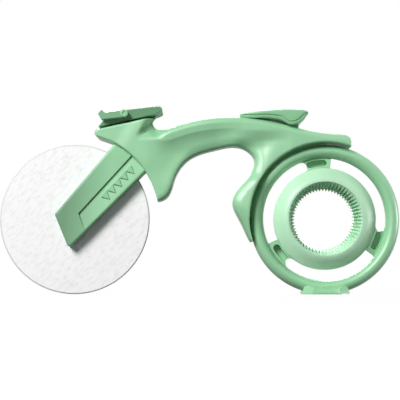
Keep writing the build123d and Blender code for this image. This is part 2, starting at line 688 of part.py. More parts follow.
def foot_screw_places():
    half = FOOT_SCREW_SPACING / 2
    return [RING_CENTRE[0] - half, RING_CENTRE[0] + half]


def wheel_ring():
    ring = ring_tube() + ring_tongue()
    for angle in WEB_ANGLES:
        ring += web(angle)
    for radius, angle in EAR_PLACES:
        hole = around(RING_CENTRE, radius, angle)
        ring -= disc(hole, SCREW_RADIUS + SCREW_PLAY, -RING_HALF, RING_HALF)
    ring -= Pos(RING_CENTRE[0], 0, 0) * Box(WHEEL_RADIUS, 4 * RING_HALF, 2 * FOOT_SEAT)
    for x in foot_screw_places():
        depth = FOOT_SCREW_LENGTH + SCREW_PLAY
        ring -= Pos(x, 0, depth / 2) * Cylinder(FOOT_SCREW_RADIUS + RUNNING, depth)
    return ring


def toothed_hole():
    """Tapered hole whose wall is a ring of pointed ribs."""
    front = GRIP_CREST[1] - RUN_ON
    slope_root = (TOOTH_ROOT_REAR - TOOTH_ROOT_FRONT) / (GRIP_REAR - GRIP_MOUTH[1])
    slope_tip = (TOOTH_TIP_REAR - TOOTH_TIP_FRONT) / (GRIP_REAR - GRIP_MOUTH[1])

    def star(depth):
        root = TOOTH_ROOT_FRONT + slope_root * (depth - GRIP_MOUTH[1])
        tip = TOOTH_TIP_FRONT + slope_tip * (depth - GRIP_MOUTH[1])
        step = 180.0 / TEETH
        points = []
        for index in range(2 * TEETH):
            radius = root if index % 2 else tip
            points.append(around(RING_CENTRE, radius, index * step))
        return Plane.XZ.offset(-depth) * area(*points)

    return loft([star(front), star(GRIP_REAR + RUN_ON)], ruled=True)


def cap_grip():
    outer = Line((GRIP_OUTER, GRIP_BAND), (GRIP_OUTER, -GRIP_BAND))
    cone = Line(outer @ 1, GRIP_CREST)
    land = Line(cone @ 1, GRIP_LAND)
    lip = ThreePointArc(land @ 1, GRIP_LIP, GRIP_MOUTH)
    down = Line(lip @ 1, (TOOTH_TIP_REAR - RUN_ON, GRIP_MOUTH[1]))
    wall = Line(down @ 1, (TOOTH_TIP_REAR - RUN_ON, GRIP_REAR))
    rear = Line(wall @ 1, (GRIP_REAR_CREST, GRIP_REAR))
    back = ThreePointArc(rear @ 1, GRIP_REAR_SHOULDER, outer @ 0)
    grip = turned(RING_CENTRE, make_face(outer + cone + land + lip + down + wall + rear + back))
    grip -= toothed_hole()
    for angle in WEB_ANGLES:
        spread = KEY_SPREAD + math.degrees(SLIP / KEY_INNER)
        notch = sector(
            RING_CENTRE, KEY_INNER - SLIP, GRIP_OUTER + RUN_ON, angle - spread, angle + spread)
        grip -= slab(notch, -WEB_HALF - SLIP, GRIP_REAR + RUN_ON)
        hole = around(RING_CENTRE, KEY_SCREW, angle)
        tip = WEB_HALF - KEY_SCREW_LENGTH - SCREW_PLAY
        grip -= disc(hole, KEY_SCREW_RADIUS + RUNNING, tip, 0)
    return grip


# Foot

def foot_plan(length, width, corner):
    return chamfer(Rectangle(length, width).vertices(), corner)


def stand_foot():
    base = foot_plan(FOOT_LENGTH, FOOT_WIDTH, FOOT_CORNER)
    top = foot_plan(FOOT_LENGTH - 2 * FOOT_DRAFT, FOOT_WIDTH - 2 * FOOT_DRAFT, FOOT_CORNER)
    foot = extrude(base, FOOT_RIM) + loft([Pos(0, 0, FOOT_RIM) * base, Pos(0, 0, FOOT_HEIGHT) * top])
    foot = Pos(RING_CENTRE[0], 0, 0) * foot
    above = Pos(RING_CENTRE[0], 0, FOOT_SEAT + WHEEL_RADIUS) * Box(
        2 * WHEEL_RADIUS, 4 * RING_HALF, 2 * WHEEL_RADIUS)
    foot -= ring_tube(RUNNING) & above
    for x in foot_screw_places():
        foot -= Pos(x, 0, FOOT_SEAT / 2) * Cylinder(FOOT_SCREW_RADIUS + SCREW_PLAY, FOOT_SEAT)
        foot -= Pos(x, 0, 0) * sunk_head(SCREW_PLAY)
    return foot


def sunk_head(play=0.0):
    """Cone of a countersunk head that opens down."""
    height = FOOT_SCREW_HEAD_RADIUS - FOOT_SCREW_RADIUS
    wide = FOOT_SCREW_HEAD_RADIUS + play
    cone = Cone(wide, FOOT_SCREW_RADIUS + play, height, align=(Align.CENTER, Align.CENTER, Align.MIN))
    rim = Cylinder(wide, FOOT_SCREW_SUNK, align=(Align.CENTER, Align.CENTER, Align.MIN))
    return Pos(0, 0, FOOT_SCREW_SUNK) * cone + rim if play else Pos(0, 0, FOOT_SCREW_SUNK) * cone


def foot_screws():
    screws = []
    for x in foot_screw_places():
        shank = Cylinder(
            FOOT_SCREW_RADIUS, FOOT_SCREW_LENGTH - FOOT_SCREW_SUNK,
            align=(Align.CENTER, Align.CENTER, Align.MIN))
        screw = Pos(0, 0, FOOT_SCREW_SUNK) * shank + sunk_head()
        drive = Box(FOOT_DRIVE_LENGTH, FOOT_DRIVE_WIDTH, SCREW_DRIVE)
        screw -= Pos(0, 0, FOOT_SCREW_SUNK) * drive
        screws.append(Pos(x, 0, 0) * screw)
    return Compound(children=screws)


def build():
    body = hollow_frame()
    return {
        "frame_front_shell": frame_front_shell(body),
        "frame_rear_shell": frame_rear_shell(body),
        "frame_screws": frame_screws(),
        "fork_front_arm": fork_front_arm(),
        "fork_rear_arm": fork_rear_arm(),
        "blade": blade(),
        "axle_sleeve": axle_sleeve(),
        "axle_screw": axle_screw(),
        "front_washer": washer(-1),
        "rear_washer": washer(1),
        "handlebar_stem": handlebar_stem(),
        "front_horn": horn(-1),
        "rear_horn": horn(1),
        "bar_rivet": bar_rivet(),
        "saddle": saddle(),
        "seat_post": seat_post(),
        "wheel_ring": wheel_ring(),
        "cap_grip": cap_grip(),
        "grip_screws": grip_screws(),
        "stand_foot": stand_foot(),
        "foot_screws": foot_screws(),
    }


def main():
    os.makedirs("parts", exist_ok=True)
    for name, piece in build().items():
        export_step(piece, f"parts/{name}.step")


if __name__ == "__main__":
    main()
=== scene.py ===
"""Looks of a pizza cutter in the form of a small bicycle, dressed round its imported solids."""
import logging
import math
from dataclasses import dataclass
from enum import Enum
from functools import cached_property
from typing import Any, Sequence

import bmesh
import bpy
import numpy as np
from bmesh.types import BMEdge, BMesh, BMFace, BMVert
from bpy.types import Material, Mesh, NodeSocket
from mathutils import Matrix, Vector
from mathutils.geometry import delaunay_2d_cdt


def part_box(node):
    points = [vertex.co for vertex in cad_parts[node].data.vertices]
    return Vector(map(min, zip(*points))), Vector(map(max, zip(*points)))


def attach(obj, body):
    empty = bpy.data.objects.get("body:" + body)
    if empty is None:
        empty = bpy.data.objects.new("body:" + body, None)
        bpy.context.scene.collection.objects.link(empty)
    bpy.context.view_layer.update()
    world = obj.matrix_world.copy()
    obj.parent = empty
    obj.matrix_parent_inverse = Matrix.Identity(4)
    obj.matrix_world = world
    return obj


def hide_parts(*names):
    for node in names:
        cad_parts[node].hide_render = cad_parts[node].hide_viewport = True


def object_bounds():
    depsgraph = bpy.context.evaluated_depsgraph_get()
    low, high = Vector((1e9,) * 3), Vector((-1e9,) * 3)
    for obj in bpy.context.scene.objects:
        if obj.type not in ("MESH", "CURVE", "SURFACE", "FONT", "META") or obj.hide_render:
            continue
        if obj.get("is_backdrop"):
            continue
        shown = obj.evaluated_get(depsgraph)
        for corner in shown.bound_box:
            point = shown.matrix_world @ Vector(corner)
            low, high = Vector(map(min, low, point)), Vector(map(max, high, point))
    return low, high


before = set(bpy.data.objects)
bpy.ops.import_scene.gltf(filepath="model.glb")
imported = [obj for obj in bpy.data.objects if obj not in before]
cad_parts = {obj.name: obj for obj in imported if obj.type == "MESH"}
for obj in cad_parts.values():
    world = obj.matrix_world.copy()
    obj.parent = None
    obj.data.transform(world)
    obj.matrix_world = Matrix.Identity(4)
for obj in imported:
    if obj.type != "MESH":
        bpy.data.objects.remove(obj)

LOG = logging.getLogger("pizza_cutter")
MM = 0.001
# Lengths under which two places count as one: in millimetres for shapes, in any unit for meshes
HAIR = 0.03
TINY = 1e-6
# Angles between faces, in degrees: up to the first they are one flat, over the second an edge is sharp
FLAT_ANGLE = 1.0
SHARP_ANGLE = 35.0
# Bevel profile that is a circular arc, and kind of triangulation that stops at the outline
ROUND_PROFILE = 0.5
INSIDE_ONLY = 1
# Places of the colour sockets of a mix node
MIX_COLOURS = slice(6, 8)
MIX_RESULT = 2
# Mint of the plastic, and the painted shade by which the bar's copy of it is darker
MINT = (0.29, 0.60, 0.34)
BAR_PAINTED_SHADE = 0.27
WHITE = (1.0, 1.0, 1.0, 1.0)
Point = tuple[float, float]
Span = tuple[float, float]
Triple = tuple[float, float, float]
Triangle = tuple[int, ...]
Array = np.ndarray


class Body(Enum):
    """CAD bodies that the pieces ride on."""

    TOOL = "tool"
    DISC = "disc"


class Slot(Enum):
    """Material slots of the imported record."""

    PLASTIC = "mint_plastic"
    BLADE = "blade_steel"


class Edge(Enum):
    """How a run of the frame's outline is finished."""

    CRISP = "crisp"
    GRIP = "grip"
    ARCH = "arch"


class Side(Enum):
    """The two sides of the tool, as the sign of their depth."""

    FRONT = -1
    REAR = 1


# Side-view curves

def around(centre: Point, radius: float, angle: float) -> Point:
    """Finds a side-view point at a radius and an angle, in degrees from +X, about a centre."""
    turn = math.radians(angle)
    return (centre[0] + radius * math.cos(turn), centre[1] + radius * math.sin(turn))


def ramp(values: Array, low: float, high: float) -> Array:
    """Rises smoothly from 0 where a value is low to 1 where it is high, which may lie below low."""
    share = np.clip((values - low) / (high - low), 0.0, 1.0)
    return share * share * (3.0 - 2.0 * share)


def straight(first: Point, last: Point, step: float) -> Array:
    """Divides a straight run into even steps, none longer than step."""
    count = max(1, math.ceil(math.dist(first, last) / step))
    return np.linspace(first, last, count + 1)


def arc(centre: Point, radius: float, start: float, end: float, step: float) -> Array:
    """Divides an arc between two angles, in degrees, into even steps, none longer than step."""
    count = max(2, math.ceil(radius * math.radians(abs(end - start)) / step))
    return np.array([around(centre, radius, angle) for angle in np.linspace(start, end, count + 1)])


def arc_through(points: Sequence[Point], step: float) -> Array:
    """Runs a circular arc through three points.

    Args:
        points: The first, a middle and the last point.
        step: Longest step along the arc.

    Returns:
        Points along the arc.
    """
    knots = np.array(points, float)
    chords = 2.0 * (knots[1:] - knots[0])
    squares = (knots ** 2).sum(axis=1)
    centre = np.linalg.solve(chords, squares[1:] - squares[0])
    reach = knots - centre
    angles = np.degrees(np.unwrap(np.arctan2(reach[:, 1], reach[:, 0])))
    return arc(tuple(centre), math.hypot(*reach[0]), angles[0], angles[2], step)


def end_slope(places: Array, values: Array) -> Array:
    """Finds the slope at the first of four places along a curve, from the cubic through its values."""
    return np.linalg.solve(np.vander(places - places[0], 4), values)[2]


def spline(points: Sequence[Point], step: float) -> Array:
    """Runs a smooth curve through points.

    Args:
        points: Points that the curve goes through.
        step: Longest step along the curve.

    Returns:
        Points along the curve, the first and last ones included.
    """
    knots = np.array(points, float)
    gaps = np.linalg.norm(np.diff(knots, axis=0), axis=1)
    places = np.concatenate([[0.0], np.cumsum(gaps)])
    rises = np.diff(knots, axis=0) / gaps[:, None]
    count = len(knots)
    matrix = np.eye(count)
    right = np.zeros_like(knots)
    right[0] = end_slope(places[:4], knots[:4])
    right[-1] = end_slope(places[-4:][::-1], knots[-4:][::-1])
    for i in range(1, count - 1):
        matrix[i, i - 1: i + 2] = gaps[i], 2 * (gaps[i - 1] + gaps[i]), gaps[i - 1]
        right[i] = 3 * (gaps[i] * rises[i - 1] + gaps[i - 1] * rises[i])
    slopes = np.linalg.solve(matrix, right)
    runs = []
    for i, gap in enumerate(gaps):
        t = np.linspace(0.0, 1.0, max(2, math.ceil(gap / step)) + 1)[:-1, None]
        runs.append(
            knots[i] * (1 + 2 * t) * (1 - t) ** 2 + knots[i + 1] * t * t * (3 - 2 * t)
            + gap * (slopes[i] * t * (1 - t) ** 2 - slopes[i + 1] * t * t * (1 - t))
        )
    return np.vstack(runs + [knots[-1:]])


def distance(points: Array, lines: Sequence[Array]) -> Array:
    """Finds the distance from each point to the nearest of some polylines.

    Args:
        points: Side-view points.
        lines: Polylines of the side view.

    Returns:
        One distance for each point.
    """
    best = np.full(len(points), np.inf)
    for line in lines:
        for a, b in zip(line[:-1], line[1:]):
            run = b - a
            share = np.clip((points - a) @ run / max(run @ run, TINY ** 2), 0.0, 1.0)
            gap = points - a - share[:, None] * run
            best = np.minimum(best, np.einsum("ij,ij->i", gap, gap))
    return np.sqrt(best)


def inside(points: Array, loop: Array) -> Array:
    """Tells which points lie inside a closed loop.

    Args:
        points: Side-view points.
        loop: Corners of the loop, the first one not repeated.

    Returns:
        One truth value for each point.
    """
    found = np.zeros(len(points), bool)
    for a, b in zip(loop, np.roll(loop, -1, axis=0)):
        crosses = (a[1] > points[:, 1]) != (b[1] > points[:, 1])
        if crosses.any():
            slope = (b[0] - a[0]) / (b[1] - a[1])
            found ^= crosses & (points[:, 0] < a[0] + (points[:, 1] - a[1]) * slope)
    return found


def inward(loop: Array) -> Array:
    """Finds the unit direction into a closed loop at each of its corners.

    Args:
        loop: Corners of the loop, the first one not repeated.

    Returns:
        One direction for each corner.
    """
    run = np.roll(loop, -1, axis=0) - np.roll(loop, 1, axis=0)
    normal = np.column_stack([-run[:, 1], run[:, 0]]) / np.linalg.norm(run, axis=1)[:, None]
    area = np.sum(loop[:, 0] * np.roll(loop[:, 1], -1) - loop[:, 1] * np.roll(loop[:, 0], -1))
    return normal if area > 0 else -normal


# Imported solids

def middle(node: str) -> Point:
    """Finds the side-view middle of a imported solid, in millimetres."""
    low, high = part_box(node)
    return ((low.x + high.x) / 2 / MM, (low.z + high.z) / 2 / MM)


def half_length(node: str) -> float:
    """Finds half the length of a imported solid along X, in millimetres."""
    low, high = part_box(node)
    return (high.x - low.x) / 2 / MM


def outward(corner: BMVert, centre: Point) -> Vector:
    """Finds the side-view run, in metres, from a centre in millimetres to a corner."""
    return Vector((corner.co.x - centre[0] * MM, 0.0, corner.co.z - centre[1] * MM))


def copied(node: str, joined: bool = True) -> BMesh:
    """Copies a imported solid.

    Args:
        node: Name of the solid.
        joined: Whether its flat faces are joined up.

    Returns:
        The copy, to be reshaped.
    """
    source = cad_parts[node].data
    form = bmesh.new()
    corners = [form.verts.new(vertex.co) for vertex in source.vertices]
    for polygon in source.polygons:
        form.faces.new([corners[i] for i in polygon.vertices])
    bmesh.ops.remove_doubles(form, verts=form.verts[:], dist=TINY)
    if joined:
        bmesh.ops.dissolve_limit(
            form, angle_limit=math.radians(FLAT_ANGLE), verts=form.verts[:], edges=form.edges[:])
    return form


# Meshes and pieces

def finished(form: BMesh, name: str, crease: float) -> Mesh:
    """Turns a built form into a smooth-shaded mesh.

    Args:
        form: The form, which is freed.
        name: Name of the mesh.
        crease: Angle, in degrees, over which an edge shades sharp.

    Returns:
        The mesh.
    """
    bmesh.ops.recalc_face_normals(form, faces=form.faces[:])
    mesh = bpy.data.meshes.new(name)
    form.to_mesh(mesh)
    form.free()
    mesh.shade_smooth()
    mesh.set_sharp_from_angle(angle=math.radians(crease))
    return mesh


def bridge(form: BMesh, *rings: Sequence[BMVert]) -> None:
    """Joins closed rings of as many corners, each to the next, with quads.

    Args:
        form: Form that the faces go into.
        rings: Corners of each ring, in the same order.
    """
    for first, second in zip(rings[:-1], rings[1:]):
        for i in range(len(first)):
            j = (i + 1) % len(first)
            form.faces.new((first[i], first[j], second[j], second[i]))


def round_off(form: BMesh, edges: list[BMEdge], width: float, segments: int = 2,
              clamped: bool = True) -> None:
    """Rounds edges.

    Args:
        form: Form that the edges belong to.
        edges: Edges to round.
        width: Width of the rounding, in millimetres.
        segments: Faces across the rounding.
        clamped: Whether the width gives way at short edges.
    """
    bmesh.ops.bevel(
        form, geom=edges, offset=width * MM, offset_type="OFFSET", segments=segments,
        profile=ROUND_PROFILE, affect="EDGES", clamp_overlap=clamped)


def add_piece(mesh: Mesh, finish: Material, body: Body, slot: Slot, *nodes: str) -> None:
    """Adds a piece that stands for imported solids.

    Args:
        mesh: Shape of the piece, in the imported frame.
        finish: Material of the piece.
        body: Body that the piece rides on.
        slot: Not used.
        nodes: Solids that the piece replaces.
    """
    piece = bpy.data.objects.new(mesh.name, mesh)
    bpy.context.scene.collection.objects.link(piece)
    mesh.materials.append(finish)
    evened = piece.modifiers.new("even_shading", "WEIGHTED_NORMAL")
    evened.keep_sharp = True
    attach(piece, body.value)
    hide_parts(*nodes)
    LOG.info("piece %s stands for %s", piece.name, ", ".join(nodes))


def add_soft(form: BMesh, node: str, width: float, finish: Material) -> None:
    """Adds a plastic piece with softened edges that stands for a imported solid.

    Args:
        form: Form of the piece, which is freed.
        node: Name of the solid.
        width: Width of the softened edges, in millimetres.
        finish: Material of the piece.
    """
    sharp = [edge for edge in form.edges
             if edge.is_manifold and edge.calc_face_angle() > math.radians(SHARP_ANGLE)]
    round_off(form, sharp, width)
    mesh = finished(form, f"{node}_soft", SHARP_ANGLE)
    add_piece(mesh, finish, Body.TOOL, Slot.PLASTIC, node)


def dress(finish: Material, *nodes: str) -> None:
    """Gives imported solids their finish.

    Args:
        finish: Material of the solids.
        nodes: Names of the solids.
    """
    for node in nodes:
        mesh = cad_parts[node].data
        mesh.materials.clear()
        mesh.materials.append(finish)
        LOG.info("solid %s is finished in %s", node, finish.name)


# Finishes

def shaded(colour: Triple, share: float) -> Triple:
    """Makes a colour lighter or darker by a share of itself."""
    return tuple(min(1.0, channel * (1.0 + share)) for channel in colour)


class Recipe:
    """Shader nodes of a material or of the sky while they are being laid out."""

    def __init__(self, owner: Any, shader: str = "Principled BSDF") -> None:
        """Starts from the owner's first shader.

        Args:
            owner: Material or sky that the nodes belong to.
            shader: Name of that shader's node.
        """
        owner.use_nodes = True
        self.nodes = owner.node_tree.nodes
        self.links = owner.node_tree.links
        self.shader = self.nodes[shader]

    @cached_property
    def place(self) -> NodeSocket:
        """Adds, once, the socket with the place on the object."""
        return self.nodes.new("ShaderNodeTexCoord").outputs["Object"]

    def add(self, kind: str, inputs: dict[Any, Any] | None = None, **settings: Any) -> Any:
        """Adds a node.

        Args:
            kind: Blender's name for the node type.
            inputs: Sockets by name or number, each with a value or with a socket to link from.
            settings: Properties of the node.

        Returns:
            The node's outputs, by name or number.
        """
        node = self.nodes.new(kind)
        for name, value in settings.items():
            setattr(node, name, value)
        for name, value in (inputs or {}).items():
            self.feed(node.inputs[name], value)
        return node.outputs

    def feed(self, socket: NodeSocket, value: Any) -> None:
        """Links a socket, or sets its value.

        Args:
            socket: Socket to feed.
            value: Value for it, or a socket to link from.
        """
        if isinstance(value, NodeSocket):
            self.links.new(value, socket)
        else:
            socket.default_value = value

    def surface(self, **inputs: Any) -> None:
        """Feeds the shader's sockets, whose names are written with underscores."""
        for name, value in inputs.items():
            self.feed(self.shader.inputs[name.replace("_", " ")], value)

    def noise(self, size: float, detail: float = 2.0, stretch: Triple = (1, 1, 1),
              turn: Triple = (0, 0, 0)) -> NodeSocket:
        """Adds noise that is fixed to the object.

        Args:
            size: Size of a blotch, in metres.
            detail: Octaves of finer noise.
            stretch: How much the noise is drawn out along X, Y and Z.
            turn: Rotation of the stretched noise, in radians.

        Returns:
            The socket with the noise, from 0 to 1.
        """
        turned = self.add("ShaderNodeMapping", {"Vector": self.place, "Rotation": turn})
        scale = tuple(1.0 / (size * s) for s in stretch)
        drawn = self.add("ShaderNodeMapping", {"Vector": turned["Vector"], "Scale": scale})
        return self.add("ShaderNodeTexNoise", {
            "Vector": drawn["Vector"], "Scale": 1.0, "Detail": detail})["Fac"]

    def between(self, socket: NodeSocket, low: float, high: float,
                start: float = 0.3, end: float = 0.7) -> NodeSocket:
        """Maps a value that runs from start to end on to low to high, and holds it there."""
        return self.add("ShaderNodeMapRange", {
            "Value": socket, "From Min": start, "From Max": end, "To Min": low, "To Max": high})["Result"]

    def uneven(self, noise: NodeSocket, level: float, swing: float) -> NodeSocket:
        """Makes a value that swings about a level with the noise."""
        return self.between(noise, level - swing, level + swing)

    def combine(self, operation: str, first: NodeSocket, second: NodeSocket) -> NodeSocket:
        """Works out one value from two."""
        return self.add("ShaderNodeMath", {0: first, 1: second}, operation=operation)[0]

    def vector(self, operation: str, *inputs: Any) -> Any:
        """Works on vectors and gives the outputs, Vector and Value."""
        return self.add("ShaderNodeVectorMath", dict(enumerate(inputs)), operation=operation)

    def blend(self, share: NodeSocket, first: Any, second: Any) -> NodeSocket:
        """Mixes two colours.

        Args:
            share: Socket with the share of the second colour.
            first: Colour, or a socket with it, at share 0.
            second: Colour, or a socket with it, at share 1.

        Returns:
            The socket with the mixed colour.
        """
        node = self.nodes.new("ShaderNodeMix")
        node.data_type = "RGBA"
        self.feed(node.inputs["Factor"], share)
        for socket, value in zip(node.inputs[MIX_COLOURS], (first, second)):
            self.feed(socket, value if isinstance(value, NodeSocket) else (*value, 1.0))
        return node.outputs[MIX_RESULT]

    def mottled(self, share: NodeSocket, tint: Triple, swing: float) -> NodeSocket:
        """Makes a tint that is darker and lighter in turn, by a share of itself."""
        return self.blend(share, shaded(tint, -swing), shaded(tint, swing))

    def bump(self, height: NodeSocket, depth: float, strength: float) -> None:
        """Gives the shader a relief of a depth in metres, of which a share shows."""
        node = self.add("ShaderNodeBump", {"Height": height, "Distance": depth, "Strength": strength})
        self.surface(Normal=node["Normal"])


@dataclass(frozen=True)
class Finish:
    """Surface finish that is laid out as the shader nodes of one material; sizes are in metres."""

    name: str

    def lay_out(self, recipe: Recipe) -> None:
        """Feeds the shader, in each finish's own way.

        Args:
            recipe: Material that the nodes go into.
        """
        raise NotImplementedError

    def material(self) -> Material:
        """Makes the material.

        Returns:
            The material, with its nodes laid out.
        """
        material = bpy.data.materials.new(self.name)
        self.lay_out(Recipe(material))
        return material


@dataclass(frozen=True)
class MouldedPlastic(Finish):
    """Satin finish of an injection-moulded piece."""

    tint: Triple
    mottle: float = 0.03
    roughness: float = 0.42
    unevenness: float = 0.05
    shine: float = 0.5
    refraction: float = 1.5
    coat: float = 0.65
    coat_roughness: float = 0.36
    blotch: float = 8 * MM
    blotch_detail: float = 4.0
    grain: float = 0.25 * MM
    grain_detail: float = 3.0
    grain_depth: float = 0.012 * MM
    grain_strength: float = 0.3

    def colour(self, recipe: Recipe) -> NodeSocket:
        """Lays out the cloudy colour."""
        cloud = recipe.between(recipe.noise(self.blotch, self.blotch_detail), 0.0, 1.0)
        return recipe.mottled(cloud, self.tint, self.mottle)

    def lay_out(self, recipe: Recipe) -> None:
        """Lays out cloudy colour, uneven gloss and a fine grain.

        Args:
            recipe: Material that the nodes go into.
        """
        grain = recipe.noise(self.grain, self.grain_detail)
        recipe.surface(
            Base_Color=self.colour(recipe), IOR=self.refraction, Specular_IOR_Level=self.shine,
            Roughness=recipe.uneven(grain, self.roughness, self.unevenness),
            Coat_Weight=self.coat, Coat_Roughness=self.coat_roughness)
        recipe.bump(grain, self.grain_depth, self.grain_strength)


@dataclass(frozen=True)
class MattPlastic(MouldedPlastic):
    """Moulded finish with less gloss."""

    shine: float = 0.25
    coat: float = 0.0


@dataclass(frozen=True)
class ForkPlastic(MouldedPlastic):
    """Moulded finish of the fork, with painted shade that darkens its colour along a line of the side
    view.
    """

    coat: float = 0.0
    crown: Point = (-46.0 * MM, 44.0 * MM)
    toe: Point = (-66.0 * MM, 46.5 * MM)
    # Share by which painted shade darkens the tint at the toe
    toe_painted_shade: float = 0.48

    def colour(self, recipe: Recipe) -> NodeSocket:
        """Lays out the cloudy colour, darkened by painted shade from the crown to the toe.

        Args:
            recipe: Material that the nodes go into.

        Returns:
            The socket with the colour.
        """
        crown, toe = np.array(self.crown), np.array(self.toe)
        run = (toe - crown) / np.linalg.norm(toe - crown)
        place = recipe.vector("DOT_PRODUCT", recipe.place, (run[0], 0.0, run[1]))
        share = recipe.between(place["Value"], 0.0, 1.0, float(crown @ run), float(toe @ run))
        # Painted shade: the tint darkens along the arm from the crown to the toe
        return recipe.blend(share, super().colour(recipe), shaded(self.tint, -self.toe_painted_shade))


@dataclass(frozen=True)
class GroundSteel(Finish):
    """Ground steel of the cutting disc, pale and mottled on its face and grey at the rim."""

    centre: Point
    radius: float
    face: Triple = (0.95, 0.95, 0.95)
    dull: Triple = (0.70, 0.70, 0.70)
    rim: Triple = (0.68, 0.68, 0.69)
    rim_width: float = 0.9 * MM
    roughness: float = 0.45
    unevenness: float = 0.06
    mirror: float = 0.05
    shine: float = 0.1
    slant: float = 0.75
    cloud: float = 1.9 * MM
    cloud_detail: float = 4.0
    cloud_stretch: Triple = (1.7, 1.0, 0.7)
    cloud_span: Span = (0.45, 0.8)
    scratch: float = 0.45 * MM
    scratch_stretch: Triple = (5.0, 1.0, 0.8)
    scratch_least: float = 0.2
    relief: float = 0.04 * MM
    relief_strength: float = 0.35

    def at_rim(self, recipe: Recipe) -> NodeSocket:
        """Lays out the distance from the disc's centre.

        Args:
            recipe: Material that the nodes go into.

        Returns:
            The socket with the share of the rim's grey.
        """
        centred = recipe.vector("SUBTRACT", recipe.place, (self.centre[0], 0.0, self.centre[1]))
        flat = recipe.vector("MULTIPLY", centred["Vector"], (1.0, 0.0, 1.0))
        away = recipe.vector("LENGTH", flat["Vector"])
        return recipe.between(away["Value"], 0.0, 1.0,
                              self.radius - self.rim_width, self.radius - self.rim_width / 2)

    def lay_out(self, recipe: Recipe) -> None:
        """Lays out mottled steel, slanting scratches and a darker edge.

        Args:
            recipe: Material that the nodes go into.
        """
        turn = (0.0, self.slant, 0.0)
        clouds = recipe.noise(self.cloud, self.cloud_detail, self.cloud_stretch, turn)
        scratches = recipe.noise(self.scratch, stretch=self.scratch_stretch, turn=turn)
        cloud = recipe.between(clouds, 0.0, 1.0, *self.cloud_span)
        marked = recipe.combine("MULTIPLY", cloud, recipe.between(scratches, self.scratch_least, 1.0))
        steel = recipe.blend(marked, self.face, self.dull)
        recipe.surface(
            Base_Color=recipe.blend(self.at_rim(recipe), steel, self.rim), Metallic=self.mirror,
            Specular_IOR_Level=self.shine,
            Roughness=recipe.uneven(cloud, self.roughness, self.unevenness))
        recipe.bump(marked, self.relief, self.relief_strength)


@dataclass(frozen=True)
class TurnedSteel(Finish):
    """Bright steel of the screws and of the axle sleeve."""

    tint: Triple = (0.62, 0.62, 0.64)
    mottle: float = 0.12
    roughness: float = 0.32
    unevenness: float = 0.08
    mark: float = 0.12 * MM
    mark_stretch: Triple = (1.0, 8.0, 1.0)
    relief: float = 0.01 * MM
    relief_strength: float = 0.3

    def lay_out(self, recipe: Recipe) -> None:
        """Lays out fine turning marks.

        Args:
            recipe: Material that the nodes go into.
        """
        marks = recipe.noise(self.mark, stretch=self.mark_stretch)
        recipe.surface(
            Base_Color=recipe.mottled(marks, self.tint, self.mottle), Metallic=1.0,
            Roughness=recipe.uneven(marks, self.roughness, self.unevenness))
        recipe.bump(marks, self.relief, self.relief_strength)


@dataclass(frozen=True)
class PaleFloor(Finish):
    """Floor that looks white, takes soft shadows and throws little light back."""

    tone: float = 0.08
    white: float = 0.80
    glow: float = 0.97
    gloss: float = 0.25
    roughness: float = 0.9

    def lay_out(self, recipe: Recipe) -> None:
        """Lays out a dull floor that is white to the camera and pale in reflections.

        Args:
            recipe: Material that the nodes go into.
        """
        recipe.surface(Base_Color=(*[self.tone] * 3, 1.0), Roughness=self.roughness)
        white = recipe.add("ShaderNodeBsdfDiffuse", {"Color": (*[self.white] * 3, 1.0)})
        glow = recipe.add("ShaderNodeEmission")
        path = recipe.add("ShaderNodeLightPath")
        mirrored = recipe.between(path["Is Glossy Ray"], 0.0, self.gloss)
        viewed = recipe.combine("MAXIMUM", path["Is Camera Ray"], mirrored)
        seen = recipe.add("ShaderNodeMixShader", {0: self.glow, 1: white[0], 2: glow[0]})
        mix = recipe.add("ShaderNodeMixShader", {0: viewed, 1: recipe.shader.outputs[0], 2: seen[0]})
        recipe.feed(recipe.nodes["Material Output"].inputs["Surface"], mix[0])


# Sub-assemblies, whose sizes are in millimetres

@dataclass
class CuttingWheel:
    """Steel disc that turns on a sleeve between two washers, held by the axle screw."""

    steel: Material
    bevel: float = 2.2
    bevel_shown: float = 0.5
    crease: float = 20.0
    washer_tint: Triple = (0.78, 0.77, 0.72)
    washer_roughness: float = 0.5

    def disc_form(self) -> BMesh:
        """Copies the disc and narrows its ground bevel.

        Returns:
            The copy.
        """
        form = copied("blade", joined=False)
        centre = middle("blade")
        start = half_length("blade") - self.bevel
        for corner in form.verts:
            out = outward(corner, centre)
            if abs(out.length / MM - start) < HAIR:
                corner.co += out.normalized() * ((self.bevel - self.bevel_shown) * MM)
        return form

    def build(self) -> None:
        """Builds the disc and dresses its axle."""
        x, z = middle("blade")
        ground = GroundSteel("ground_steel", (x * MM, z * MM), half_length("blade") * MM)
        disc = finished(self.disc_form(), "blade_ground", self.crease)
        add_piece(disc, ground.material(), Body.DISC, Slot.BLADE, "blade")
        nylon = MouldedPlastic("pale_nylon", self.washer_tint, roughness=self.washer_roughness)
        dress(nylon.material(), "front_washer", "rear_washer")
        dress(self.steel, "axle_sleeve", "axle_screw")


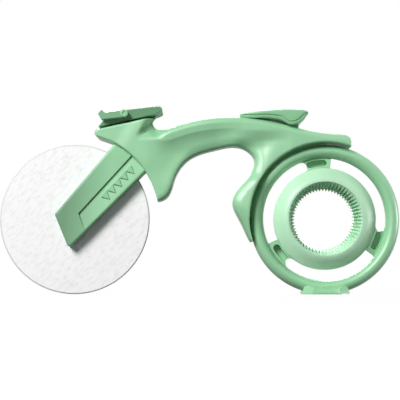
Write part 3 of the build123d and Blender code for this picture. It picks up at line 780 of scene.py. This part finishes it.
@dataclass
class Fork:
    """Two leaning arms that hold the axle, with a row of plain slice marks on each."""

    edge: float = 0.3
    brow: float = 1.1
    brow_segments: int = 4
    brow_least: float = 4.0
    reach: float = 42.5
    wall_least: float = 3.0
    facing: float = 0.8

    def arm_form(self, node: str) -> BMesh:
        """Copies an arm and rounds the long edges round its outer face.

        Args:
            node: Name of the arm.

        Returns:
            The copy.
        """
        form = copied(node)
        form.normal_update()
        axle = middle("blade")

        def wall(face: BMFace) -> bool:
            """Tells whether a face is a side wall that runs far across the arm."""
            levels = [corner.co.y for corner in face.verts]
            return max(levels) - min(levels) > self.wall_least * MM

        brow = [edge for edge in form.edges
                if min(abs(corner.co.y) for corner in edge.verts) > self.brow_least * MM
                and min(outward(corner, axle).length for corner in edge.verts) < self.reach * MM
                and any(wall(face) for face in edge.link_faces)
                and any(abs(face.normal.y) > self.facing for face in edge.link_faces)]
        round_off(form, brow, self.brow, self.brow_segments, clamped=False)
        return form

    def build(self) -> None:
        """Builds both arms with softened edges."""
        finish = ForkPlastic("fork_painted_shade_moulding", MINT).material()
        for node in ("fork_front_arm", "fork_rear_arm"):
            add_soft(self.arm_form(node), node, self.edge, finish)


@dataclass(frozen=True)
class Rounding:
    """Rounding of an edge: the width that it takes, and the depth that is lost at the edge."""

    width: float | Array
    drop: float | Array

    def toward(self, other: "Rounding", share: Array) -> "Rounding":
        """Changes into another rounding by a share that differs from point to point."""
        return Rounding(self.width + (other.width - self.width) * share,
                        self.drop + (other.drop - self.drop) * share)

    def loss(self, gap: Array) -> Array:
        """Finds the depth that is lost at each distance from the edge."""
        return self.drop * np.clip(1.0 - gap / self.width, 0.0, 1.0) ** 2


@dataclass(frozen=True)
class Bank:
    """Even slope that starts at a value and runs on for a width, as the values fall."""

    slope: float
    start: float
    width: float

    def rise(self, values: Array) -> Array:
        """Finds how far the slope has come at each value."""
        return self.slope * np.clip(self.start - values, 0.0, self.width)


@dataclass(frozen=True)
class Patch:
    """Part of the side view that holds a relief: the spans along X and Z in which it fades in."""

    along: tuple[Span, ...]
    up: tuple[Span, ...]

    def share(self, points: Array) -> Array:
        """Finds how much of the relief shows.

        Args:
            points: Side-view points.

        Returns:
            The share that shows at each point, from 0 to 1.
        """
        x, z = points.T
        fades = [ramp(x, *span) for span in self.along] + [ramp(z, *span) for span in self.up]
        return np.prod(fades, axis=0)


@dataclass
class FrameHalf:
    """One moulded half of the frame: head, handle, finger arch and seat leaf.

    Side-view points are X and Z, and depths are Y from the parting plane.
    """

    side: Side
    finish: Material
    steel: Material
    axle: Point
    ring: Point
    depth: float
    # Outline of the side view
    step: float = 0.8
    front_fender: float = 42.5
    fender_start: float = 12.0
    fender_end: float = 64.0
    rear_fender: float = 37.9
    leaf_end: float = 197.5
    leaf_taper: float = 201.5
    head_lower: Point = (-51.0, 78.2)
    head_tip: Point = (-52.2, 80.6)
    head_upper: Point = (-51.4, 83.0)
    head_gap: float = 1.2
    neck_top: Point = (-21.6, 89.5)
    tube: tuple[Point, ...] = (
        (-23.4, 84.9), (-20.6, 82.2), (-12.5, 83.4), (0.2, 86.8), (17.6, 88.15), (35.0, 86.4),
        (52.5, 81.8), (61.7, 80.15), (70.5, 79.4), (73.7, 78.8))
    tail_tip: Point = (75.4, 77.4)
    tail_root: Point = (75.4, 62.0)
    tail_cuts: int = 4
    leaf_root: Point = (32.5, 20.5)
    arch: tuple[Point, ...] = (
        (20.4, 35.9), (16.5, 46.6), (20.1, 53.2), (25.6, 60.4), (27.4, 67.0), (21.8, 72.7),
        (8.0, 72.1), (-5.2, 67.2), (-12.3, 57.4), (-15.6, 48.9))
    spike_tip: Point = (-18.6, 46.6)
    # Roundings of the edges, and where one changes into the next
    crisp: Rounding = Rounding(0.7, 0.7)
    grip: Rounding = Rounding(2.8, 2.6)
    neck: Rounding = Rounding(5.0, 4.0)
    neck_fade: Span = (-14.0, -22.0)
    leaf: Rounding = Rounding(5.0, 1.9)
    seat: Rounding = Rounding(4.0, 1.8)
    seat_fade: Span = (50.0, 66.0)
    underside: Rounding = Rounding(4.5, 1.4)
    spike: Rounding = Rounding(3.0, 1.2)
    hem: Rounding = Rounding(1.0, 1.4)
    behind: Rounding = Rounding(5.0, 5.6)
    arch_middle: Point = (6.0, 58.0)
    swing_start: float = -90.0
    underside_swing: Span = (25.0, 62.0)
    spike_swing: Span = (120.0, 150.0)
    # Relief of the head
    crease: tuple[Point, Point] = ((-32.0, 78.3), (-27.0, 86.8))
    crease_fade: Span = (0.0, 3.2)
    crease_drop: float = 3.2
    crease_patch: Patch = Patch(((-17.5, -22.5),), ((76.5, 81.5),))
    head_swell: float = 0.5
    swell_fade: Span = (-8.0, -0.5)
    swell_patch: Patch = Patch(((-8.0, -22.0),), ((58.0, 68.0),))
    # Relief of the seat tube and of the leaf under it
    ridge: tuple[Point, ...] = (
        (17.5, 45.5), (19.9, 48.5), (24.4, 53.5), (28.8, 59.4), (32.3, 69.3), (34.3, 74.2), (35.5, 77.5))
    ridge_lean: float = 0.85
    ridge_soft: float = 3.0
    ridge_drop: float = 2.2
    ridge_length: float = 5.8
    ridge_patch: Patch = Patch(((15.0, 23.0),), ((42.0, 48.0), (78.0, 72.0)))
    block: Bank = Bank(0.12, 46.0, 14.0)
    block_patch: Patch = Patch(((16.0, 30.0),), ((54.0, 62.0), (82.0, 76.0)))
    lean: Bank = Bank(0.1, 76.0, 24.0)
    lean_left: Span = (-14.0, -3.0)
    lean_right: Span = (12.0, 2.0)
    lean_spread: float = 20.0
    lean_widening: Span = (60.0, 50.0)
    lean_foot: Span = (22.0, 44.0)
    leaf_bank: Bank = Bank(0.12, 30.0, 14.0)
    leaf_patch: Patch = Patch(((8.0, 14.0),), ((58.0, 50.0),))
    # Relief of the handle
    handle_swell: float = 0.6
    brink_slope: float = 0.16
    brink_start: float = 3.0
    flute_depth: float = 3.0
    flute_start: float = 6.0
    flute_length: float = 4.8
    handle_patch: Patch = Patch(((-27.0, -12.0), (24.0, 6.0)), ((52.0, 72.0),))
    thinnest: float = 2.5
    # Screw holes, parting line and mesh
    pad_depth: float = 7.7
    pad_fade: Span = (6.0, 3.5)
    bore_radius: float = 2.9
    bore_seat: float = 5.2
    bore_step: float = 0.6
    bore_margin: float = 0.25
    hole_radius: float = 1.6
    screw_apart: float = 8.7
    parting: float = 0.16
    rows: tuple[float, ...] = (
        0.08, 0.22, 0.42, 0.7, 1.1, 1.6, 2.2, 2.9, 3.6, 4.3, 5.0, 5.5, 6.0, 6.5, 7.1)
    row_share: float = 0.97
    rim_share: float = 0.99
    pitch: float = 0.95
    shade_crease: float = 50.0

    @cached_property
    def runs(self) -> list[tuple[Edge, Array]]:
        """Lays out the side view, run by run, round the frame.

        Returns:
            Each run's finish and its points, which start where the run before ended.
        """
        step = self.step
        lowered = self.head_gap if self.side is Side.FRONT else 0.0
        brow = [(x, z - lowered) for x, z in (self.head_upper, self.neck_top)]
        notch = (self.tube[0][0], self.tube[0][1] - lowered / 2)
        tail = straight(self.tail_tip, self.tail_root, step / self.tail_cuts)
        tail = tail[np.linalg.norm(tail - self.ring, axis=1) > self.rear_fender]
        turn = math.degrees(math.atan2(tail[-1][1] - self.ring[1], tail[-1][0] - self.ring[0]))
        taper = around(self.ring, self.rear_fender, self.leaf_taper)
        inner = spline((self.leaf_root, taper, *self.arch, self.spike_tip), step)
        offset = inner - self.ring
        angles = np.degrees(np.arctan2(offset[:, 1], offset[:, 0])) % 360.0
        start = int(np.argmax((angles < self.leaf_end) & (np.hypot(*offset.T) > self.rear_fender)))
        inner = inner[start:]
        fender = arc(self.ring, self.rear_fender, turn, self.leaf_end, step)
        front = arc(self.axle, self.front_fender, self.fender_start, self.fender_end, step)
        return [
            (Edge.CRISP, front),
            (Edge.CRISP, straight(tuple(front[-1]), self.head_lower, step)),
            (Edge.CRISP, arc_through((self.head_lower, self.head_tip, brow[0]), step)),
            (Edge.CRISP, straight(*brow, step)),
            (Edge.GRIP, spline((brow[1], notch, *self.tube[1:], self.tail_tip), step)),
            (Edge.CRISP, np.vstack([tail[::self.tail_cuts], fender[:1]])),
            (Edge.CRISP, fender),
            (Edge.CRISP, np.vstack([fender[-1:], inner[:1]])),
            (Edge.ARCH, inner),
            (Edge.CRISP, straight(self.spike_tip, tuple(front[0]), step)),
        ]

    @cached_property
    def loop(self) -> Array:
        """Joins the runs into one closed outline, its first corner not repeated."""
        return np.vstack([line[:-1] for _, line in self.runs])

    @cached_property
    def holes(self) -> Array:
        """Finds the screws, which enter the rear half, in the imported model.

        Returns:
            Side-view centres of the half's screw holes.
        """
        centres = np.empty((0, 2))
        if self.side is Side.FRONT:
            return centres
        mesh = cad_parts["frame_screws"].data
        found = np.array([vertex.co for vertex in mesh.vertices])[:, [0, 2]] / MM
        while len(found):
            near = np.linalg.norm(found - found[0], axis=1) < self.screw_apart
            centres = np.vstack([centres, (found[near].min(0) + found[near].max(0)) / 2])
            found = found[~near]
        return centres

    @cached_property
    def circles(self) -> list[Array]:
        """Draws the rims of the screw holes."""
        return [arc(tuple(hole), self.bore_radius, 0.0, 360.0, self.bore_step)[:-1]
                for hole in self.holes]

    def arch_loss(self, points: Array, gap: Array) -> Array:
        """Rounds the edge of the finger arch, from the leaf by the tube to the spike.

        Args:
            points: Side-view points.
            gap: Distance of each point from that edge.

        Returns:
            The depth that is lost at each point.
        """
        if self.side is Side.REAR:
            return self.behind.loss(gap)
        x, z = (points - self.arch_middle).T
        swing = (np.degrees(np.arctan2(z, x)) - self.swing_start) % 360.0 + self.swing_start
        inner = self.leaf.toward(self.seat, ramp(points[:, 1], *self.seat_fade))
        inner = inner.toward(self.underside, ramp(swing, *self.underside_swing))
        inner = inner.toward(self.spike, ramp(swing, *self.spike_swing))
        return inner.loss(gap) + self.hem.loss(gap)

    def head_relief(self, points: Array) -> Array:
        """Sculpts a swell on the head before the crease and a scoop in the neck behind it.

        Args:
            points: Side-view points.

        Returns:
            The change of depth at each point.
        """
        foot, head = np.array(self.crease)
        run = (head - foot) / np.linalg.norm(head - foot)
        past = (points - foot) @ (run[1], -run[0])
        scoop = self.crease_drop * ramp(past, *self.crease_fade) * self.crease_patch.share(points)
        return self.head_swell * ramp(past, *self.swell_fade) * self.swell_patch.share(points) - scoop

    def seat_relief(self, points: Array) -> Array:
        """Sculpts the ridged seat tube, which leans out to its foot, and the leaf under it.

        Args:
            points: Side-view points.

        Returns:
            The change of depth at each point.
        """
        x, z = points.T
        ridge = np.array(self.ridge)
        aside = x - np.interp(z, ridge[:, 1], ridge[:, 0])
        left = self.ridge_lean * (np.hypot(aside, self.ridge_soft) - aside) / 2
        fall = self.ridge_drop * (1.0 - np.exp(-left / self.ridge_length))
        right = aside - self.lean_spread * ramp(z, *self.lean_widening)
        bulge = ramp(aside, *self.lean_left) * ramp(right, *self.lean_right) * ramp(z, *self.lean_foot)
        return (self.lean.rise(z) * bulge
                - fall * self.ridge_patch.share(points)
                - self.block.rise(x) * self.block_patch.share(points)
                - self.leaf_bank.rise(x) * self.leaf_patch.share(points))

    def handle_relief(self, points: Array, gap: Array) -> Array:
        """Sculpts the handle, which swells at its top and is fluted below.

        Args:
            points: Side-view points.
            gap: Distance of each point from the grip's edge.

        Returns:
            The change of depth at each point.
        """
        brink = np.clip(gap - self.brink_start, 0.0, self.flute_start - self.brink_start)
        below = np.clip(gap - self.flute_start, 0.0, None)
        flute = self.flute_depth * (1.0 - np.exp(-below / self.flute_length))
        return (self.handle_swell - flute - self.brink_slope * brink) * self.handle_patch.share(points)

    def heights(self, points: Array) -> Array:
        """Sculpts the outer face, with a flat pad round each screw.

        Args:
            points: Side-view points.

        Returns:
            Distance of the outer face from the parting plane at each point.
        """
        gaps = {edge: distance(points, [line for kind, line in self.runs if kind is edge])
                for edge in Edge}
        grip = self.grip.toward(self.neck, ramp(points[:, 0], *self.neck_fade))
        lost = self.crisp.loss(gaps[Edge.CRISP]) + grip.loss(gaps[Edge.GRIP])
        lost = lost + self.arch_loss(points, gaps[Edge.ARCH])
        relief = self.head_relief(points) + self.seat_relief(points)
        relief = relief + self.handle_relief(points, gaps[Edge.GRIP])
        depths = np.clip(self.depth - lost + relief, self.thinnest, None)
        for hole in self.holes:
            away = np.linalg.norm(points - hole, axis=1)
            depths = np.maximum(depths, self.pad_depth * ramp(away, *self.pad_fade))
        return depths

    def fill_points(self) -> Array:
        """Scatters points inside the outline: rows along the edges, and a grid between them.

        Returns:
            Points inside the outline and outside the screw holes.
        """
        closed = [np.vstack([self.loop, self.loop[:1]])]
        way = inward(self.loop)
        scattered = []
        for gap in self.rows:
            row = self.loop + gap * way
            row = row[inside(row, self.loop)]
            scattered.append(row[distance(row, closed) > self.row_share * gap])
        low, high = self.loop.min(0), self.loop.max(0)
        lines = np.arange(low[1], high[1], self.pitch * math.sqrt(3) / 2)
        columns = np.arange(low[0], high[0], self.pitch)
        grid = np.array([(x + self.pitch / 2 * (i % 2), z)
                         for i, z in enumerate(lines) for x in columns])
        grid = grid[inside(grid, self.loop)]
        scattered.append(grid[distance(grid, closed) > self.rows[-1] + self.pitch / 2])
        points = np.vstack(scattered)
        for hole in self.holes:
            points = points[np.linalg.norm(points - hole, axis=1) > self.bore_radius + self.bore_margin]
        return points

    def triangles(self, loops: list[Array], scattered: Array,
                  radius: float) -> tuple[Array, list[Triangle]]:
        """Fills the side view with triangles.

        Args:
            loops: The outline, then the rims of the holes.
            scattered: Points between them.
            radius: Radius of the holes.

        Returns:
            The points, loops first, and the triangles between them.
        """
        edges, start = [], 0
        for loop in loops:
            count = len(loop)
            edges += [(start + i, start + (i + 1) % count) for i in range(count)]
            start += count
        coords = [Vector(p) for p in np.vstack([*loops, scattered])]
        outer = list(range(len(loops[0])))
        verts, _, faces, origins, _, _ = delaunay_2d_cdt(coords, edges, [outer], INSIDE_ONLY, TINY)
        points = np.array([tuple(v) for v in verts])
        order = np.array([o[0] for o in origins])
        back = np.empty(len(order), int)
        back[order] = np.arange(len(order))
        kept = []
        for face in faces:
            centre = points[list(face)].mean(0)
            if all(np.linalg.norm(centre - hole) > radius * self.rim_share for hole in self.holes):
                kept.append(tuple(int(order[i]) for i in face))
        return points[back], kept

    def shell(self) -> Mesh:
        """Builds the half as a closed form: outer face, edge, screw holes and parting face.

        Returns:
            The mesh of the half.
        """
        form = bmesh.new()

        def placed(flat: Array, deep: Array | float) -> list[BMVert]:
            """Sets corners at side-view points and at one depth or many."""
            level = self.side.value * np.broadcast_to(deep, len(flat))
            return [form.verts.new((p[0] * MM, d * MM, p[1] * MM)) for p, d in zip(flat, level)]

        points, faces = self.triangles([self.loop, *self.circles], self.fill_points(), self.bore_radius)
        outer = placed(points, self.heights(points))
        start = len(self.loop)
        seam = self.loop + self.parting * inward(self.loop)
        rings = [outer[:start], placed(self.loop, self.parting), placed(seam, 0.0)]
        bridge(form, *rings)
        loops, ends = [seam], rings[-1]
        for circle, hole in zip(self.circles, self.holes):
            throat = hole + (circle - hole) * (self.hole_radius / self.bore_radius)
            rings = [outer[start: start + len(circle)], placed(circle, self.bore_seat),
                     placed(throat, self.bore_seat), placed(throat, 0.0)]
            bridge(form, *rings)
            loops.append(throat)
            ends = ends + rings[-1]
            start += len(circle)
        _, flat = self.triangles(loops, np.empty((0, 2)), self.hole_radius)
        for face in faces:
            form.faces.new([outer[i] for i in face])
        for face in flat:
            form.faces.new([ends[i] for i in face])
        return finished(form, f"frame_{self.side.name.lower()}_moulding", self.shade_crease)

    def build(self) -> None:
        """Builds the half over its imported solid, and dresses the screws with the rear one."""
        node = f"frame_{self.side.name.lower()}_shell"
        add_piece(self.shell(), self.finish, Body.TOOL, Slot.PLASTIC, node)
        if self.side is Side.REAR:
            dress(self.steel, "frame_screws")


@dataclass
class Handlebar:
    """Stem plate on the head with two horns and the rivet through the bar."""

    finish: Material
    rivet_finish: Material
    edge: float = 0.3

    def build(self) -> None:
        """Builds the stem and both horns with softened edges and dresses the rivet."""
        for node in ("handlebar_stem", "front_horn", "rear_horn"):
            add_soft(copied(node), node, self.edge, self.finish)
        dress(self.rivet_finish, "bar_rivet")


@dataclass
class Saddle:
    """Saddle with a thin nose, a leaning flank and a rolled lip, on its post.

    Stations are X, half width, top edge, edge line, bottom and underside. The dome's points are shares
    of the half width and of the crown's height. The brim's and the groove's are insets and drops, and
    the roll's are insets and shares of the lip's height.
    """

    finish: Material
    stations: tuple[tuple[float, ...], ...] = (
        (20.4, 5.2, 90.0, 89.5, 88.3, 88.4),
        (23.0, 7.0, 90.25, 89.45, 87.95, 88.05),
        (26.0, 8.0, 90.5, 89.15, 87.55, 87.7),
        (30.0, 9.0, 90.8, 89.15, 87.45, 87.6),
        (34.0, 9.4, 91.1, 89.1, 87.3, 87.4),
        (37.6, 9.7, 91.35, 88.7, 86.9, 87.0),
        (41.6, 10.0, 91.5, 87.8, 85.85, 86.0),
        (44.5, 10.2, 91.5, 85.8, 84.1, 84.9),
        (47.4, 10.4, 91.35, 85.95, 84.1, 84.5),
        (50.4, 10.4, 91.25, 87.9, 85.6, 85.9),
        (52.4, 10.1, 91.0, 89.6, 87.7, 88.0),
        (53.9, 9.6, 90.4, 89.9, 89.2, 89.5))
    station_step: float = 0.4
    count: int = 72
    crown: float = 0.2
    crown_rise: float = 0.03
    dome: tuple[Point, ...] = ((0.0, 0.0), (0.35, 0.08), (0.65, 0.35))
    brim: tuple[Point, ...] = ((0.7, -0.06), (0.3, 0.06), (0.08, 0.3), (0.0, 0.62))
    lean: float = 7.0
    flank_trim: float = 0.7
    flank_least: float = 0.1
    groove: tuple[Point, ...] = ((0.0, -0.3), (0.14, -0.1))
    roll: tuple[Point, ...] = (
        (0.6, 0.04), (0.62, 0.16), (0.2, 0.27), (0.2, 0.36), (0.38, 0.64), (0.6, 0.92), (0.85, 1.0))
    under_inset: float = 1.5
    under_share: float = 0.3
    crease: float = 40.0

    def section(self, station: Array) -> Array:
        """Lays out one cross section, from the middle of the top round to the right and back.

        Args:
            station: X, half width, top edge, edge line, bottom and underside.

        Returns:
            Points of the closed section, in metres.
        """
        x, half, top, edge, bottom, under = station
        rise = self.crown + self.crown_rise * half
        flank = max(self.flank_least, top - edge - self.flank_trim)
        wall = half - math.tan(math.radians(self.lean)) * flank
        right = [
            *((share * half, top + rise * (1.0 - drop)) for share, drop in self.dome),
            *((half - inset, top - drop) for inset, drop in self.brim),
            ((half + wall) / 2, top - self.brim[-1][1] - flank / 2),
            *((wall - inset, edge - drop) for inset, drop in self.groove),
            *((wall - inset, edge - share * (edge - bottom)) for inset, share in self.roll),
            (wall - self.under_inset, under),
            (self.under_share * half, under)]
        left = [(-y, z) for y, z in right[:0:-1]]
        return np.array([(x, y, z) for y, z in [*right, (0.0, under), *left]]) * MM

    def shape(self) -> Mesh:
        """Runs the sections along the saddle.

        Returns:
            The closed mesh.
        """
        rows = np.array(self.stations)
        lines = [spline(rows[:, [0, column]], self.station_step) for column in range(1, rows.shape[1])]
        places = np.linspace(rows[0, 0], rows[-1, 0], self.count)
        columns = [np.interp(places, line[:, 0], line[:, 1]) for line in lines]
        form = bmesh.new()
        loops = [[form.verts.new(p) for p in self.section(station)]
                 for station in np.column_stack([places, *columns])]
        bridge(form, *loops)
        form.faces.new(loops[0])
        form.faces.new(loops[-1])
        return finished(form, "saddle_moulding", self.crease)

    def build(self) -> None:
        """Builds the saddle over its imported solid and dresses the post."""
        add_piece(self.shape(), self.finish, Body.TOOL, Slot.PLASTIC, "saddle")
        dress(self.finish, "seat_post")


@dataclass
class RearWheel:
    """Rear ring on three webs, with the toothed cap grip in its hub.

    Depths are Y. The land is the flat round the grip's mouth: how far its rim lies outside the roots of
    the teeth, and its depth.
    """

    finish: Material
    steel: Material
    edge: float = 0.3
    slot_floor: float = 0.6
    slot_sunk: float = 2.3
    # Painted light: the grip's mint is a lighter copy of the frame's, standing for its brighter lighting
    # and sheen
    grip_painted_light_tint: Triple = (0.49, 0.80, 0.55)
    grip_coat: float = 0.35
    grip_crease: float = 38.0
    grip_wall: float = 7.6
    tooth_depth: float = 1.3
    tooth_taper: float = 2.1
    mouth: float = -6.4
    rear: float = 6.0
    rib_fall: float = 2.8
    land: Point = (0.608, -7.0)
    lip_share: float = 0.15

    def ring_form(self) -> BMesh:
        """Copies the ring and sinks the floors of the slots in its webs.

        Returns:
            The copy.
        """
        form = copied("wheel_ring")
        centre = middle("cap_grip")
        hub = half_length("cap_grip")
        for corner in form.verts:
            on_floor = abs(corner.co.y / MM - self.slot_floor) < HAIR
            if on_floor and outward(corner, centre).length > hub * MM:
                corner.co.y = self.slot_sunk * MM
        return form

    def grip_form(self) -> BMesh:
        """Copies the cap grip, opens its mouth to the land and slopes the front ends of its ribs.

        Returns:
            The copy.
        """
        form = copied("cap_grip", joined=False)
        centre = middle("cap_grip")
        root = half_length("cap_grip") - self.grip_wall
        lean = self.tooth_taper / (self.rear - self.mouth)
        keep = 1.0 - self.lip_share
        for corner in form.verts:
            out = outward(corner, centre)
            away = out.length / MM - root
            depth = corner.co.y / MM
            if abs(depth - self.mouth) < HAIR and away < -self.tooth_depth / 2:
                corner.co -= out.normalized() * (lean * self.rib_fall * MM)
                corner.co.y += self.rib_fall * MM
            elif depth < self.mouth + HAIR and away < self.land[0]:
                corner.co += out.normalized() * ((self.land[0] - away) * keep * MM)
                corner.co.y += (self.land[1] - depth) * keep * MM
        return form

    def build(self) -> None:
        """Builds the ring and the grip and dresses the grip's screws."""
        add_soft(self.ring_form(), "wheel_ring", self.edge, self.finish)
        finish = MattPlastic("grip_painted_light_moulding", self.grip_painted_light_tint, coat=self.grip_coat).material()
        grip = finished(self.grip_form(), "cap_grip_soft", self.grip_crease)
        add_piece(grip, finish, Body.TOOL, Slot.PLASTIC, "cap_grip")
        dress(self.steel, "grip_screws")


@dataclass
class Stand:
    """Foot under the rear ring that keeps the tool upright."""

    finish: Material
    steel: Material
    edge: float = 0.25
    dip: float = 1.5
    dip_flat: float = 5.0
    dip_reach: float = 9.0
    dip_cuts: int = 13

    def foot_form(self) -> BMesh:
        """Copies the foot and dips its top edge between the ends.

        Returns:
            The copy.
        """
        form = copied("stand_foot")
        _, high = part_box("stand_foot")
        centre = middle("stand_foot")[0]
        for place in np.linspace(centre - self.dip_reach, centre + self.dip_reach, self.dip_cuts):
            bmesh.ops.bisect_plane(
                form, geom=form.verts[:] + form.edges[:] + form.faces[:], dist=TINY,
                plane_co=(place * MM, 0.0, 0.0), plane_no=(1.0, 0.0, 0.0))
        for corner in form.verts:
            if high.z - corner.co.z < HAIR * MM:
                away = abs(corner.co.x / MM - centre)
                corner.co.z -= self.dip * MM * ramp(away, self.dip_reach, self.dip_flat)
        return form

    def build(self) -> None:
        """Builds the foot with softened edges and dresses its screws."""
        add_soft(self.foot_form(), "stand_foot", self.edge, self.finish)
        dress(self.steel, "foot_screws")


@dataclass(frozen=True)
class Softbox:
    """Square lamp: its name, place and side in metres, and its power in watts."""

    name: str
    place: Triple
    size: float
    power: float


@dataclass
class Studio:
    """White studio: floor, sky, softboxes and the camera in front of the left side, in metres."""

    eye: Triple = (0.0002, -0.55, 0.009)
    aim: Triple = (0.0002, 0.0, 0.0471)
    half_view: float = 0.1004
    nearest: float = 0.01
    floor_size: float = 1.3
    sky: float = 0.02
    lamps: tuple[Softbox, ...] = (
        Softbox("key_softbox", (-0.62, -0.90, 0.72), 0.48, 19.7),
        Softbox("side_softbox", (1.0, 0.0, 0.10), 0.2, 5.0),
        Softbox("back_softbox", (-0.1, 1.0, 0.72), 0.5, 15.0))

    def floor(self) -> None:
        """Lays a plain pale floor that takes soft shadows."""
        form = bmesh.new()
        bmesh.ops.create_grid(form, x_segments=1, y_segments=1, size=self.floor_size / 2)
        mesh = bpy.data.meshes.new("studio_floor")
        form.to_mesh(mesh)
        form.free()
        mesh.materials.append(PaleFloor("floor_white").material())
        piece = bpy.data.objects.new("studio_floor", mesh)
        bpy.context.scene.collection.objects.link(piece)
        piece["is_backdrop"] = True

    def world(self) -> None:
        """Makes a sky that looks white and lights the tool evenly."""
        world = bpy.data.worlds.new("studio_sky")
        bpy.context.scene.world = world
        recipe = Recipe(world, "Background")
        path = recipe.add("ShaderNodeLightPath")
        viewed = recipe.combine("MAXIMUM", path["Is Camera Ray"], path["Is Glossy Ray"])
        recipe.surface(Color=WHITE, Strength=recipe.between(viewed, self.sky, 1.0, 0.0, 1.0))

    def stand_up(self, data: bpy.types.ID, place: Triple) -> bpy.types.Object:
        """Stands a lamp or a camera at a place, facing the tool.

        Args:
            data: The lamp or camera, whose name its holder takes.
            place: Where it stands.

        Returns:
            The holder.
        """
        holder = bpy.data.objects.new(data.name, data)
        bpy.context.scene.collection.objects.link(holder)
        holder.location = place
        sight = Vector(self.aim) - Vector(place)
        holder.rotation_euler = sight.to_track_quat("-Z", "Y").to_euler()
        return holder

    def lights(self) -> None:
        """Hangs the softboxes."""
        for softbox in self.lamps:
            lamp = bpy.data.lights.new(softbox.name, "AREA")
            lamp.size = softbox.size
            lamp.energy = softbox.power
            self.stand_up(lamp, softbox.place)

    def camera(self) -> None:
        """Sets the camera square to the tool's left side and a little below its middle."""
        lens = bpy.data.cameras.new("camera")
        lens.angle = 2.0 * math.atan(self.half_view / math.dist(self.aim, self.eye))
        lens.clip_start = self.nearest
        bpy.context.scene.camera = self.stand_up(lens, self.eye)

    def build(self) -> None:
        """Builds the whole studio."""
        bpy.context.scene.view_settings.view_transform = "Standard"
        self.floor()
        self.world()
        self.lights()
        self.camera()


def corners() -> list[list[float]]:
    """Lists the corners of the box round everything that belongs to the tool."""
    return [list(corner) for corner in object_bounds()]


def main() -> None:
    """Builds the tool's looks and the studio."""
    logging.basicConfig(level=logging.INFO, format="%(message)s")
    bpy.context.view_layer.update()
    plastic = MouldedPlastic("mint_moulding", MINT).material()
    matt = MattPlastic("matt_moulding", MINT).material()
    # The bar is the mint darkened by painted shade
    bar = MattPlastic("bar_painted_shade_moulding", shaded(MINT, -BAR_PAINTED_SHADE)).material()
    steel = TurnedSteel("turned_steel").material()
    shell_low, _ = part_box("frame_front_shell")
    CuttingWheel(steel).build()
    Fork().build()
    for side in Side:
        FrameHalf(side, plastic, steel, middle("blade"), middle("cap_grip"), -shell_low.y / MM).build()
    Handlebar(bar, matt).build()
    Saddle(matt).build()
    RearWheel(plastic, steel).build()
    Stand(plastic, steel).build()
    Studio().build()


if __name__ == "__main__":
    main()
